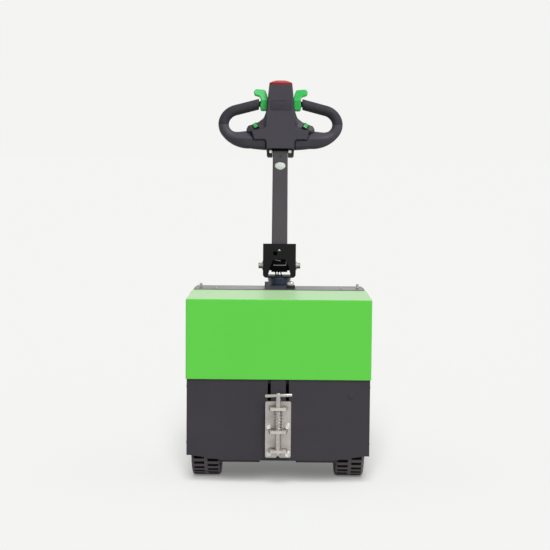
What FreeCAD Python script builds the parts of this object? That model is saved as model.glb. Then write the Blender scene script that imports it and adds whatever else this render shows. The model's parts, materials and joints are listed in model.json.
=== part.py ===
import FreeCAD, Part
import math
import os

Vector = FreeCAD.Vector

# Pedestrian electric tow tug.
# Working frame in millimetres: X across the tug, Y from the towing coupling (front) to the
# operator (rear), Z up from the floor. The front panel's face lies at y = 0 until every piece
# is moved so that the origin is the middle of the whole tug's footprint.

# Chassis and covers
chassis_width = 515.0
chassis_length = 407.0
base_thickness = 6.0
base_notch_width = 102.0
base_notch_depth = 22.0
base_lip_half_width = 160.0
panel_sheet = 3.0
panel_flange = 20.0
panel_top_z = 526.0
skirt_z = 86.0
skirt_rear_chamfer = 34.0
front_panel_thickness = 8.0
front_panel_flat_half = 245.0
front_slot_width = 9.0
front_slot_top_z = 340.0
front_slot_low_z = 85.0

hood_sheet = 2.5
hood_fit = 0.5
hood_low_z = 303.0
hood_length = 277.0
hood_front_gap = 1.5
hood_edge_radius = 3.0

deck_thickness = 4.0
deck_side_inset = 5.0
deck_corner_radius = 4.0
deck_joint = 1.0

# Wheels at the coupling end
wheel_radius = 130.0
tyre_width = 85.0
tyre_shoulder_radius = 14.0
tyre_crown = 3.0
rim_seat_radius = 52.0
rim_flange_radius = 62.0
rim_width = 60.0
rim_sheet = 4.0
rim_dish = 14.0
rim_hole_count = 5
rim_hole_radius = 6.0
hub_radius = 26.0
hub_length = 74.0
track_width = 410.0
drive_axle_y = 155.0
stub_radius = 12.5
wheel_nut_radius = 17.0
wheel_nut_height = 7.0
running_gap = 0.05
wheel_side_gap = 7.5
wheel_arch_gap = 8.0
well_roof_gap = 27.0
axle_tube_radius = 26.0
gearbox_radius = 50.0
gearbox_width = 130.0
motor_radius = 46.0
motor_length = 170.0
motor_reach = 98.0
gearbox_floor_gap = 6.5

# Battery
battery_width = 400.0
battery_length = 270.0
battery_height = 205.0

# Steering column with its swivelling wheel
steer_reach = 39.0
headstock_radius = 33.5
headstock_low_z = 226.0
headstock_top_z = 530.0
bearing_land = 40.0
stem_radius = 27.0
stem_relief = 2.0
cable_hole_radius = 16.0
turning_gap = 0.3
collar_radius = 33.5
collar_top_z = 554.0
bracket_plate = 8.0
bracket_root_width = 150.0
bracket_nose_radius = 46.0
castor_radius = 100.0
castor_width = 50.0
castor_hub_radius = 62.0
castor_bore_radius = 10.0
castor_side_gap = 5.0
fork_plate = 8.0
fork_leg_width = 64.0
fork_crown_gap = 12.0
well_depth = 87.0
well_roof_z = 262.0

# Tiller bracket and tiller
pivot_z = 589.0
pivot_radius = 9.0
pivot_length = 124.0
bracket_width = 101.0
bracket_height = 105.0
bracket_depth = 70.0
bracket_wall = 5.0
bracket_bend = 11.0
bracket_rear_drop = 22.0
stop_plate = 5.0
arch_top_z = 611.0
arch_top_width = 38.0
arch_low_width = 71.0
stop_hole_x = -13.0
stop_hole_z = 629.0
stop_hole_radius = 7.0
tiller_lean = 8.0
tube_width = 49.0
tube_top_width = 46.5
tube_depth = 40.0
tube_wall = 3.0
tube_length = 369.0
tube_hole_radius = 4.0
tube_hole_drop = 20.0
bush_radius = 15.0
head_low = 357.0

# Tiller head, measured up the tiller from the head's lower edge
head_height = 203.5
taper_start = 126.0
head_depth = 66.0
head_half_low = 43.0
head_half_top = 36.5
head_top_depth = 50.0
wing_tip_x = 106.0
wing_low = 53.0
wing_high = 79.0
wing_depth = 46.0
cover_depth = 13.0
cover_seam = 0.5
crossbar_low = 31.0
crossbar_tip_x = 94.0
field_half_width = 32.0
field_low = 129.0
field_high = 157.0
field_depth = 1.2
button_dome = 16.5
button_shoulder = 5.0
handle_radius = 16.5
handle_start = (69.0, 146.0)
neck_inner = (38.0, 154.3)
neck_radius = 9.0
throttle_depth = 28.0
ear_drop = 19.0
# Corners of the grip's centre line with their bend radii, and sections of the lower arm
# as (distance from the middle, height of the section's middle, height, depth)
grip_corners = [(69.0, 146.0, 0.0), (161.5, 121.5, 50.0), (185.5, 78.0, 40.0), (152.0, 39.0, 0.0)]
cuff_size = 2.14
arm_crease_radius = 7.0
arm_sections = [(130.0, 36.0, 52.0, 42.0), (94.0, 32.0, 60.0, 50.0), (40.0, 31.0, 62.0, 54.0)]

# Towing coupling
plate_width = 72.0
plate_height = 160.0
plate_low_z = 82.0
plate_thickness = 8.0
plate_corner = 5.0
plate_notch = 6.0
bolt_spacing = 51.0
lug_root = 51.0
lug_front = 43.0
lug_reach = 33.0
lug_thickness = 8.0
lug_low_z = [101.0, 156.0, 221.0]
pin_radius = 7.5
pin_fit = 0.1
pin_reach = 19.0
pin_low_z = 93.0
pin_top_z = 269.0
grip_radius = 4.75
grip_length = 77.0
grip_z = 262.0
pin_seat_radius = 11.5
pin_seat_height = 3.0
spring_wire = 1.25
spring_radius = 10.6
spring_turns = 7.5

half_chassis = chassis_width / 2
base_top_z = wheel_radius - gearbox_radius - gearbox_floor_gap
base_z = base_top_z - base_thickness
wheel_x = track_width / 2
tyre_inner_x = wheel_x - tyre_width / 2
well_wall_x = tyre_inner_x - wheel_side_gap
well_roof = 2 * wheel_radius + well_roof_gap
bulkhead_y = chassis_length - well_depth
steer_y = chassis_length + steer_reach
crown_low_z = 2 * castor_radius + fork_crown_gap
crown_top_z = crown_low_z + fork_plate
plate_face_y = -plate_thickness
pin_y = plate_face_y - pin_reach
deck_y = hood_length + deck_joint


def bend_end(corners, index):
    # Point where the bend at one corner of a centre line runs out into the next straight.
    here = Vector(corners[index][0], corners[index][1], 0)
    before = Vector(corners[index - 1][0], corners[index - 1][1], 0) - here
    after = Vector(corners[index + 1][0], corners[index + 1][1], 0) - here
    setback = corners[index][2] / math.tan(before.getAngle(after) / 2)
    after.normalize()
    end = here + after * setback
    return (end.x, end.y)


grip_bend_end = bend_end(grip_corners, 2)

up = Vector(0, 0, 1)
across = Vector(1, 0, 0)
back = Vector(0, 1, 0)


def rounded_wire(corners, place):
    # Closed wire through (a, b, radius) corners; place turns a flat point into a point in space.
    count = len(corners)
    turns = []
    for i in range(count):
        a, b, radius = corners[i]
        here = Vector(a, b, 0)
        to_last = Vector(corners[i - 1][0], corners[i - 1][1], 0) - here
        to_next = Vector(corners[(i + 1) % count][0], corners[(i + 1) % count][1], 0) - here
        to_last.normalize()
        to_next.normalize()
        half = to_last.getAngle(to_next) / 2
        inward = to_last + to_next
        if radius > 0:
            inward.normalize()
            centre = here + inward * (radius / math.sin(half))
            middle = centre - inward * radius
            setback = radius / math.tan(half)
        else:
            middle = here
            setback = 0
        turns.append((here + to_last * setback, middle, here + to_next * setback, radius))
    edges = []
    for i in range(count):
        start, middle, end, radius = turns[i]
        following = turns[(i + 1) % count][0]
        if radius > 0:
            edges.append(Part.Arc(place(start), place(middle), place(end)).toShape())
        if (following - end).Length > 1e-6:
            edges.append(Part.LineSegment(place(end), place(following)).toShape())
    return Part.Wire(edges)


def slab(axis, low, high, corners):
    # Plate whose outline lies across the axis; corners are (x, z) for "y", (y, z) for "x".
    places = {
        "x": lambda p: Vector(low, p.x, p.y),
        "y": lambda p: Vector(p.x, low, p.y),
        "z": lambda p: Vector(p.x, p.y, low),
    }
    runs = {"x": across, "y": back, "z": up}
    face = Part.Face(rounded_wire(corners, places[axis]))
    return face.extrude(runs[axis] * (high - low))


def sharp(points):
    return [(a, b, 0) for a, b in points]


def block(x_low, x_high, y_low, y_high, z_low, z_high):
    return Part.makeBox(x_high - x_low, y_high - y_low, z_high - z_low, Vector(x_low, y_low, z_low))


def rod(radius, start, end):
    return Part.makeCylinder(radius, (end - start).Length, start, end - start)


def turned(corners, base, direction):
    # Solid of revolution; corners are (radius, distance along the axis, corner radius).
    face = Part.Face(rounded_wire(corners, lambda p: Vector(p.x, 0, p.y)))
    shape = face.revolve(Vector(0, 0, 0), up, 360)
    shape.Placement = FreeCAD.Placement(base, FreeCAD.Rotation(up, direction))
    return shape


def mirrored(shape):
    return shape.mirror(Vector(0, 0, 0), across)


def base_plate():
    side_x = well_wall_x
    lip = drive_axle_y - wheel_radius
    half_notch = base_notch_width / 2
    outline = [
        (half_notch, 0, 0),
        (base_lip_half_width, 0, 2),
        (base_lip_half_width, lip, 2),
        (side_x, lip, 0),
        (side_x, bulkhead_y, 0),
        (-side_x, bulkhead_y, 0),
        (-side_x, lip, 0),
        (-base_lip_half_width, lip, 2),
        (-base_lip_half_width, 0, 2),
        (-half_notch, 0, 0),
        (-half_notch, base_notch_depth, 3),
        (half_notch, base_notch_depth, 3),
    ]
    return slab("z", base_z, base_top_z, outline)


def front_panel():
    outline = sharp([
        (-half_chassis, panel_top_z),
        (-half_chassis, skirt_z),
        (-front_panel_flat_half, skirt_z),
        (-base_lip_half_width, base_top_z),
        (base_lip_half_width, base_top_z),
        (front_panel_flat_half, skirt_z),
        (half_chassis, skirt_z),
        (half_chassis, panel_top_z),
    ])
    panel = slab("y", 0, front_panel_thickness, outline)
    half_slot = front_slot_width / 2
    for side in (-1, 1):
        x = side * bolt_spacing / 2
        slot = [
            (x - half_slot, front_slot_low_z, half_slot * 0.98),
            (x + half_slot, front_slot_low_z, half_slot * 0.98),
            (x + half_slot, front_slot_top_z, half_slot * 0.98),
            (x - half_slot, front_slot_top_z, half_slot * 0.98),
        ]
        panel = panel.cut(slab("y", -1, front_panel_thickness + 1, slot))
    return panel


def side_panel():
    outer = half_chassis
    inner = half_chassis - panel_sheet
    rear_z = skirt_z + skirt_rear_chamfer
    outline = sharp([
        (front_panel_thickness, skirt_z),
        (chassis_length - skirt_rear_chamfer, skirt_z),
        (chassis_length, rear_z),
        (chassis_length, panel_top_z),
        (front_panel_thickness, panel_top_z),
    ])
    panel = slab("x", inner, outer, outline)
    flange = block(inner - panel_flange, inner, front_panel_thickness,
                   chassis_length - panel_sheet, panel_top_z - panel_sheet, panel_top_z)
    arch = rod(wheel_radius + wheel_arch_gap, Vector(inner - 1, drive_axle_y, wheel_radius),
               Vector(outer + 1, drive_axle_y, wheel_radius))
    return panel.fuse(flange).cut(arch).removeSplitter()


def rear_panel():
    # One folded sheet: bulkhead, roof of the castor's bay and rear wall.
    sheet = panel_sheet
    outline = sharp([
        (chassis_length - sheet, panel_top_z),
        (chassis_length - sheet, well_roof_z),
        (bulkhead_y - sheet, well_roof_z),
        (bulkhead_y - sheet, base_top_z),
        (bulkhead_y, base_top_z),
        (bulkhead_y, well_roof_z - sheet),
        (chassis_length, well_roof_z - sheet),
        (chassis_length, panel_top_z),
    ])
    half = half_chassis - sheet
    return slab("x", -half, half, outline)


def wheel_well():
    # Inner wall and roof round the drive wheel, folded from one sheet.
    inner = well_wall_x - panel_sheet
    outline = sharp([
        (inner, base_top_z),
        (well_wall_x, base_top_z),
        (well_wall_x, well_roof - panel_sheet),
        (half_chassis - panel_sheet, well_roof - panel_sheet),
        (half_chassis - panel_sheet, well_roof),
        (inner, well_roof),
    ])
    sheet = slab("y", front_panel_thickness, bulkhead_y - panel_sheet, outline)
    passage = rod(axle_tube_radius + 1, Vector(inner - 1, drive_axle_y, wheel_radius),
                  Vector(well_wall_x + 1, drive_axle_y, wheel_radius))
    return sheet.cut(passage)


def hood():
    wall = hood_sheet
    outer = half_chassis + hood_fit + wall
    front = -hood_front_gap - wall
    top = panel_top_z + wall
    shell = block(-outer, outer, front, hood_length, hood_low_z, top)
    corner_edges = []
    for edge in shell.Edges:
        middle = edge.CenterOfMass
        on_side = abs(abs(middle.x) - outer) < 0.01
        on_front = abs(middle.y - front) < 0.01
        on_top = abs(middle.z - top) < 0.01
        if on_side + on_front + on_top == 2:
            corner_edges.append(edge)
    shell = shell.makeFillet(hood_edge_radius, corner_edges)
    hollow = block(-outer + wall, outer - wall, front + wall, hood_length + 1, hood_low_z - 1, panel_top_z)
    return shell.cut(hollow)


def deck_plate():
    half = half_chassis - deck_side_inset
    radius = deck_corner_radius
    outline = [
        (-half, deck_y, radius),
        (half, deck_y, radius),
        (half, chassis_length, radius),
        (-half, chassis_length, radius),
    ]
    return slab("z", panel_top_z, panel_top_z + deck_thickness, outline)


def battery():
    y_low = front_panel_thickness + 12
    return block(-battery_width / 2, battery_width / 2, y_low, y_low + battery_length,
                 well_roof, well_roof + battery_height)


def drive_unit():
    # Gearbox with the axle tubes, the fixed stubs that carry the wheels, and the motor behind it.
    axle = Vector(0, drive_axle_y, wheel_radius)
    half_box = gearbox_width / 2
    tube_end = well_wall_x + 1.5
    hub_end = wheel_x + hub_length / 2
    stub_end = hub_end + wheel_nut_height + 2
    shape = rod(gearbox_radius, axle - across * half_box, axle + across * half_box)
    shape = shape.fuse(rod(axle_tube_radius, axle - across * tube_end, axle + across * tube_end))
    shape = shape.fuse(rod(stub_radius, axle - across * stub_end, axle + across * stub_end))
    motor = axle + back * motor_reach
    motor_end = across * (motor_length / 2)
    shape = shape.fuse(rod(motor_radius, motor - motor_end, motor + motor_end))
    shape = shape.fuse(block(-half_box, half_box, drive_axle_y, drive_axle_y + motor_reach,
                             wheel_radius - 20, wheel_radius + 20))
    for side in (-1, 1):
        nut_start = axle + across * (side * (hub_end + turning_gap))
        nut_end = axle + across * (side * (hub_end + wheel_nut_height))
        shape = shape.fuse(rod(wheel_nut_radius, nut_start, nut_end))
        x = side * (half_box - 20)
        foot = block(x - 10, x + 10, drive_axle_y - 35, drive_axle_y + 35, base_top_z, wheel_radius)
        shape = shape.fuse(foot)
    return shape.removeSplitter()


def tyre():
    half = tyre_width / 2
    shoulder = tyre_shoulder_radius
    profile = [
        (rim_seat_radius, -rim_width / 2 + rim_sheet, 0),
        (rim_flange_radius, -rim_width / 2 + rim_sheet, 0),
        (rim_flange_radius + 8, -half, 6),
        (wheel_radius - tyre_crown, -half, shoulder),
        (wheel_radius, -half / 3, 30),
        (wheel_radius, half / 3, 30),
        (wheel_radius - tyre_crown, half, shoulder),
        (rim_flange_radius + 8, half, 6),
        (rim_flange_radius, rim_width / 2 - rim_sheet, 0),
        (rim_seat_radius, rim_width / 2 - rim_sheet, 0),
    ]
    return turned(profile, Vector(wheel_x, drive_axle_y, wheel_radius), across)


def rim():
    # Pressed barrel with a dished, drilled disc and a turned hub.
    half = rim_width / 2
    sheet = rim_sheet
    inner = rim_seat_radius - sheet
    disc = rim_dish
    bore = stub_radius + running_gap
    profile = [
        (bore, -hub_length / 2, 0),
        (hub_radius, -hub_length / 2, 2),
        (hub_radius, disc - sheet, 3),
        (inner, disc - sheet, 3),
        (inner, -half + 2, 3),
        (rim_flange_radius, -half, 2),
        (rim_flange_radius, -half + sheet, 1),
        (rim_seat_radius, -half + sheet, 0),
        (rim_seat_radius, half - sheet, 0),
        (rim_flange_radius, half - sheet, 1),
        (rim_flange_radius, half, 2),
        (inner, half - 2, 3),
        (inner, disc, 3),
        (hub_radius, disc, 3),
        (hub_radius, hub_length / 2, 2),
        (bore, hub_length / 2, 0),
    ]
    middle = Vector(wheel_x, drive_axle_y, wheel_radius)
    shape = turned(profile, middle, across)
    holes = []
    for i in range(rim_hole_count):
        angle = 2 * math.pi * i / rim_hole_count
        reach = (hub_radius + inner) / 2
        spot = middle + Vector(0, reach * math.cos(angle), reach * math.sin(angle))
        holes.append(rod(rim_hole_radius, spot + across * (disc - sheet - 1), spot + across * (disc + 1)))
    return shape.cut(holes)


def headstock():
    # Bored tube with two bearing lands and the two plates that weld it to the rear wall.
    land = stem_radius + running_gap
    low, top = headstock_low_z, headstock_top_z
    profile = sharp([
        (land, low),
        (headstock_radius, low),
        (headstock_radius, top),
        (land, top),
        (land, top - bearing_land),
        (land + stem_relief, top - bearing_land),
        (land + stem_relief, low + bearing_land),
        (land, low + bearing_land),
    ])
    shape = turned(profile, Vector(0, steer_y, 0), up)
    half_root = bracket_root_width / 2
    nose = bracket_nose_radius
    nose_corner = nose * 0.9
    outline = [
        (-half_root, chassis_length, 0),
        (half_root, chassis_length, 0),
        (nose, steer_y + nose, nose_corner),
        (-nose, steer_y + nose, nose_corner),
    ]
    for z_low in (well_roof_z + 4, panel_top_z - 26):
        plate = slab("z", z_low, z_low + bracket_plate, outline)
        bore = rod(headstock_radius - 1, Vector(0, steer_y, z_low - 1),
                   Vector(0, steer_y, z_low + bracket_plate + 1))
        shape = shape.fuse(plate.cut(bore))
    return shape.removeSplitter()


def steering_column():
    low = crown_top_z
    profile = sharp([
        (cable_hole_radius, low),
        (stem_radius, low),
        (stem_radius, headstock_top_z + turning_gap),
        (collar_radius, headstock_top_z + turning_gap),
        (collar_radius, collar_top_z),
        (cable_hole_radius, collar_top_z),
    ])
    return turned(profile, Vector(0, steer_y, 0), up)


def castor_fork():
    # Crown and legs bent from one plate, with round lower ends about the axle.
    inner = castor_width / 2 + castor_side_gap
    outer = inner + fork_plate
    half_leg = fork_leg_width / 2
    outline = [
        (-outer, castor_radius - half_leg, 0),
        (-inner, castor_radius - half_leg, 0),
        (-inner, crown_low_z, 6),
        (inner, crown_low_z, 6),
        (inner, castor_radius - half_leg, 0),
        (outer, castor_radius - half_leg, 0),
        (outer, crown_top_z, 6 + fork_plate),
        (-outer, crown_top_z, 6 + fork_plate),
    ]
    folded = slab("y", steer_y - half_leg, steer_y + half_leg, outline)
    side_view = [
        (steer_y - half_leg, castor_radius - half_leg, half_leg * 0.99),
        (steer_y + half_leg, castor_radius - half_leg, half_leg * 0.99),
        (steer_y + half_leg, crown_top_z, 0),
        (steer_y - half_leg, crown_top_z, 0),
    ]
    fork = folded.common(slab("x", -outer - 1, outer + 1, side_view))
    return fork.cut(castor_axle())


def castor_axle():
    end = castor_width / 2 + castor_side_gap + fork_plate
    axle = Vector(0, steer_y, castor_radius)
    shape = rod(castor_bore_radius, axle - across * end, axle + across * end)
    for side in (-1, 1):
        inner = axle + across * (side * end)
        outer = axle + across * (side * (end + 7))
        shape = shape.fuse(rod(castor_bore_radius + 5, inner, outer))
    return shape


def castor_tyre():
    half = castor_width / 2
    profile = [
        (castor_hub_radius, -half + 3, 0),
        (castor_hub_radius + 4, -half, 2),
        (castor_radius, -half, 9),
        (castor_radius, half, 9),
        (castor_hub_radius + 4, half, 2),
        (castor_hub_radius, half - 3, 0),
    ]
    return turned(profile, Vector(0, steer_y, castor_radius), across)


def castor_hub():
    half = castor_width / 2
    bore = castor_bore_radius + running_gap
    profile = sharp([
        (bore, -half - castor_side_gap + turning_gap),
        (bore + 9, -half - castor_side_gap + turning_gap),
        (bore + 9, -6),
        (castor_hub_radius - 9, -6),
        (castor_hub_radius - 9, -half + 3),
        (castor_hub_radius, -half + 3),
        (castor_hub_radius, half - 3),
        (castor_hub_radius - 9, half - 3),
        (castor_hub_radius - 9, 6),
        (bore + 9, 6),
        (bore + 9, half + castor_side_gap - turning_gap),
        (bore, half + castor_side_gap - turning_gap),
    ])
    return turned(profile, Vector(0, steer_y, castor_radius), across)


def tiller_bracket():
    # Folded channel on the collar, closed in front by the stop plate with its arched window.
    half = bracket_width / 2
    inner = half - bracket_wall
    low = collar_top_z
    floor = low + bracket_wall
    top = low + bracket_height
    bend = bracket_bend
    y_low = steer_y - bracket_depth / 2
    y_high = steer_y + bracket_depth / 2
    channel = slab("y", y_low, y_high, [
        (-half, low, bend),
        (half, low, bend),
        (half, top, 0),
        (inner, top, 0),
        (inner, floor, bend - bracket_wall),
        (-inner, floor, bend - bracket_wall),
        (-inner, top, 0),
        (-half, top, 0),
    ])
    stop = slab("y", y_low, y_low + stop_plate, sharp([
        (-inner - 1, top), (-inner - 1, floor + bend), (inner + 1, floor + bend), (inner + 1, top)]))
    window = slab("y", y_low - 1, y_low + stop_plate + 1, [
        (-arch_low_width / 2, floor, 0),
        (arch_low_width / 2, floor, 0),
        (arch_low_width / 2, floor + 14, 20),
        (arch_top_width / 2, arch_top_z, 6),
        (-arch_top_width / 2, arch_top_z, 6),
        (-arch_low_width / 2, floor + 14, 20),
    ])
    shape = channel.fuse(stop).cut(window)
    shape = shape.cut(rod(stop_hole_radius, Vector(stop_hole_x, y_low - 1, stop_hole_z),
                          Vector(stop_hole_x, y_low + stop_plate + 1, stop_hole_z)))
    shape = shape.cut(rod(cable_hole_radius, Vector(0, steer_y, low - 1), Vector(0, steer_y, floor + 1)))
    pivot = Vector(0, steer_y, pivot_z)
    shape = shape.cut(rod(pivot_radius, pivot - across * (half + 1), pivot + across * (half + 1)))
    # The side walls' upper edges fall towards the operator.
    rear_corner = slab("x", -half - 1, half + 1, sharp([
        (y_low + stop_plate, top),
        (y_high + 1, top - bracket_rear_drop),
        (y_high + 1, top + 1),
        (y_low + stop_plate, top + 1),
    ]))
    return shape.cut(rear_corner).removeSplitter()


def pivot_pin():
    half = pivot_length / 2
    return rod(pivot_radius, Vector(-half, steer_y, pivot_z), Vector(half, steer_y, pivot_z))


def switch_block():
    y_low = steer_y - bracket_depth / 2 + stop_plate
    half = arch_top_width / 2 + 6
    return block(-half, half, y_low, y_low + 5, arch_top_z - 18, arch_top_z + 12)


def leaning(shape):
    # Tiller pieces are drawn upright above the pivot and then leaned towards the operator.
    moved = shape.copy()
    moved.translate(Vector(0, steer_y, pivot_z))
    moved.rotate(Vector(0, steer_y, pivot_z), across, -tiller_lean)
    return moved


def tapered_tube(width_low, width_top, depth, low, high):
    # Straight tapered box centred on the tiller's axis.
    sections = []
    for half, z in ((width_low / 2, low), (width_top / 2, high)):
        sections.append(rounded_wire([
            (-half, -depth / 2, 4), (half, -depth / 2, 4), (half, depth / 2, 4), (-half, depth / 2, 4)],
            lambda p: Vector(p.x, p.y, z)))
    return Part.makeLoft(sections, True, True)


def tiller_tube():
    half_depth = tube_depth / 2
    tube = tapered_tube(tube_width, tube_top_width, tube_depth, 0, tube_length)
    foot = rod(half_depth, across * (-tube_width / 2), across * (tube_width / 2))
    shape = tube.fuse(foot).removeSplitter()
    hollow = tapered_tube(tube_width - 2 * tube_wall, tube_top_width - 2 * tube_wall,
                          tube_depth - 2 * tube_wall, pivot_radius + 12, tube_length + 1)
    shape = shape.cut(hollow)
    hole_z = head_low - tube_hole_drop
    shape = shape.cut(rod(tube_hole_radius, Vector(0, -tube_depth, hole_z), Vector(0, 0, hole_z)))
    return shape.cut(rod(pivot_radius + running_gap, across * -tube_width, across * tube_width))


def tiller_bushes():
    gap_end = bracket_width / 2 - bracket_wall - turning_gap
    bushes = []
    bore = rod(pivot_radius + running_gap, across * (-tube_width), across * tube_width)
    for side in (-1, 1):
        ring = rod(bush_radius, across * (side * tube_width / 2), across * (side * gap_end))
        bushes.append(ring.cut(bore))
    return Part.makeCompound(bushes)


def both_sides(right):
    # Whole outline from its right half, which is listed upwards; heights are above the head's edge.
    left = [(-x, w, radius) for x, w, radius in reversed(right)]
    return [(x, w + head_low, radius) for x, w, radius in right + left]


def flare_edge():
    # Edge of the wing where it sweeps up into the column.
    return [
        (91, wing_high, 12),
        (69, wing_high + 9, 16),
        (52, wing_high + 22, 20),
        (head_half_low + 1, wing_high + 46, 20),
    ]


def head_column(low, high, front):
    # Tapered core of the head with rounded upright edges.
    sections = []
    for w, half, depth in ((0, head_half_low, head_depth), (taper_start, head_half_low, head_depth),
                           (head_height, head_half_top, head_top_depth)):
        sections.append((w, half, depth))
    wires = []
    for w, half, depth in sections:
        back_y = front + depth
        z = head_low + w
        corners = [(-half, front, 6), (half, front, 6), (half, back_y, 12), (-half, back_y, 12)]
        wires.append(rounded_wire(corners, lambda p, z=z: Vector(p.x, p.y, z)))
    return Part.makeLoft(wires, True, True)


def head_housing():
    # Rear shell: core behind the cover, with the wings that meet the handles.
    front = -head_depth / 2
    seam_y = front + cover_depth
    core = head_column(0, head_height, front)
    core = core.common(block(-200, 200, seam_y, 200, head_low - 1, head_low + head_height + 1))
    wing_outline = both_sides([
        (20, wing_low, 0),
        (wing_tip_x - 3, wing_low, 7),
        (wing_tip_x, wing_low + 13, 9),
        (wing_tip_x - 2, wing_high, 6),
    ] + flare_edge() + [(30, taper_start + 20, 0)])
    wings = slab("y", seam_y, seam_y + wing_depth - cover_depth, wing_outline)
    rear_edges = [edge for edge in wings.Edges
                  if abs(edge.BoundBox.YMin - (seam_y + wing_depth - cover_depth)) < 0.01
                  and abs(edge.BoundBox.YMax - edge.BoundBox.YMin) < 0.01
                  and edge.BoundBox.ZMin > head_low + wing_low - 1]
    wings = wings.makeFillet(5, rear_edges)
    shape = core.fuse(wings).removeSplitter()
    half = tube_width / 2
    socket = block(-half, half, -tube_depth / 2, tube_depth / 2, head_low - 1, tube_length)
    return shape.cut(socket)


def head_cover():
    # T-shaped front cover: flat face, with flanks that slope back to the wings' edge.
    front = -head_depth / 2
    rear = front + cover_depth - cover_seam
    inset = 1.5
    face = both_sides([
        (head_half_low - inset, inset, 2),
        (head_half_low - inset + 1, crossbar_low - 6, 2),
        (head_half_low + 6, crossbar_low + inset, 3),
        (crossbar_tip_x - 13, crossbar_low + inset, 3),
        (crossbar_tip_x - 3, wing_low + 8, 4),
        (64, wing_low + 14, 14),
        (50, wing_low + 25, 14),
        (head_half_low - 1, wing_low + 45, 14),
        (head_half_low - inset, taper_start, 3),
        (head_half_top - inset, head_height - inset, 5),
    ])
    rim = both_sides([
        (head_half_low, 0, 2),
        (head_half_low + 2, crossbar_low - 6, 2),
        (head_half_low + 6, crossbar_low, 3),
        (crossbar_tip_x - 12, crossbar_low, 3),
        (crossbar_tip_x, wing_low + 10, 4),
        (91, wing_high, 12),
        (69, wing_high + 9, 16),
        (52, wing_high + 22, 20),
        (head_half_low + 1, wing_high + 46, 20),
        (head_half_top, head_height, 5),
    ])
    front_wire = rounded_wire(face, lambda p: Vector(p.x, front, p.y))
    rear_wire = rounded_wire(rim, lambda p: Vector(p.x, rear, p.y))
    cover = Part.makeLoft([front_wire, rear_wire], True, True)
    field = slab("y", front - 1, front + field_depth, [
        (-field_half_width, head_low + field_low, 4),
        (field_half_width, head_low + field_low, 4),
        (field_half_width, head_low + field_high, 4),
        (-field_half_width, head_low + field_high, 4),
    ])
    cover = cover.cut(field)
    pocket = wing_button_blank(cover_seam)
    return cover.cut([pocket, mirrored(pocket)])


def arched_slab(axis, half_depth, half_width, base, shoulder, crown):
    # Slab with a straight foot, short upright sides and an arc over the top.
    if axis == "y":
        def place(u, z):
            return Vector(u, -half_depth, z)
    else:
        def place(u, z):
            return Vector(-half_depth, u, z)
    left, right = place(-half_width, base), place(half_width, base)
    left_top, right_top = place(-half_width, base + shoulder), place(half_width, base + shoulder)
    edges = [
        Part.LineSegment(left, right).toShape(),
        Part.LineSegment(right, right_top).toShape(),
        Part.Arc(right_top, place(0, base + crown), left_top).toShape(),
        Part.LineSegment(left_top, left).toShape(),
    ]
    run = back if axis == "y" else across
    return Part.Face(Part.Wire(edges)).extrude(run * (2 * half_depth))


def belly_button():
    # Pillow-shaped: one outline arched across the head and one arched along its depth.
    base = head_low + head_height
    half = head_half_top - 0.5
    half_depth = head_top_depth / 2 - 1
    front_view = arched_slab("y", half_depth, half, base, button_shoulder, button_dome)
    side_view = arched_slab("x", half, half_depth, base, button_shoulder, button_dome)
    shape = front_view.common(side_view)
    upright = [edge for edge in shape.Edges if edge.BoundBox.ZLength > 1
               and edge.BoundBox.XLength < 0.01 and edge.BoundBox.YLength < 0.01]
    shape = shape.makeFillet(5, upright)
    shape.translate(Vector(0, (head_top_depth - head_depth) / 2, 0))
    return shape


def swept_tube(path_points, radius):
    # Round tube along a path of straight runs joined by tangent arcs; points are (x, z, radius).
    edges = []
    last = Vector(path_points[0][0], 0, path_points[0][1])
    for i in range(1, len(path_points) - 1):
        here = Vector(path_points[i][0], 0, path_points[i][1])
        before = Vector(path_points[i - 1][0], 0, path_points[i - 1][1]) - here
        after = Vector(path_points[i + 1][0], 0, path_points[i + 1][1]) - here
        before.normalize()
        after.normalize()
        bend = path_points[i][2]
        half = before.getAngle(after) / 2
        inward = before + after
        inward.normalize()
        setback = bend / math.tan(half)
        start = here + before * setback
        end = here + after * setback
        middle = here + inward * (bend / math.sin(half) - bend)
        edges.append(Part.LineSegment(last, start).toShape())
        edges.append(Part.Arc(start, middle, end).toShape())
        last = end
    finish = Vector(path_points[-1][0], 0, path_points[-1][1])
    if (finish - last).Length > 1e-6:
        edges.append(Part.LineSegment(last, finish).toShape())
    path = Part.Wire(edges)
    first = Vector(path_points[0][0], 0, path_points[0][1])
    direction = Vector(path_points[1][0], 0, path_points[1][1]) - first
    ring = Part.Wire(Part.makeCircle(radius, first, direction))
    return path.makePipeShell([ring], True, False)


def handle_neck(radius):
    # Slanted spigot that carries the handle's upper end and on which the throttle turns.
    inner = Vector(neck_inner[0], 0, head_low + neck_inner[1])
    outer = Vector(handle_start[0], 0, head_low + handle_start[1])
    return rod(radius, inner, outer + (outer - inner).normalize() * 2)


def kite_wire(centre, upward, height, depth, soft, crease):
    # Closed section with rounded top, bottom and rear corners and its own radius at the front.
    corners = [
        (0, height / 2 + 0.414 * soft, soft),
        (-depth / 2 - 0.414 * crease, 0, crease),
        (0, -height / 2 - 0.414 * soft, soft),
        (depth / 2 + 0.414 * soft, 0, soft),
    ]
    return rounded_wire(corners, lambda p: centre + back * p.x + upward * p.y)


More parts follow.
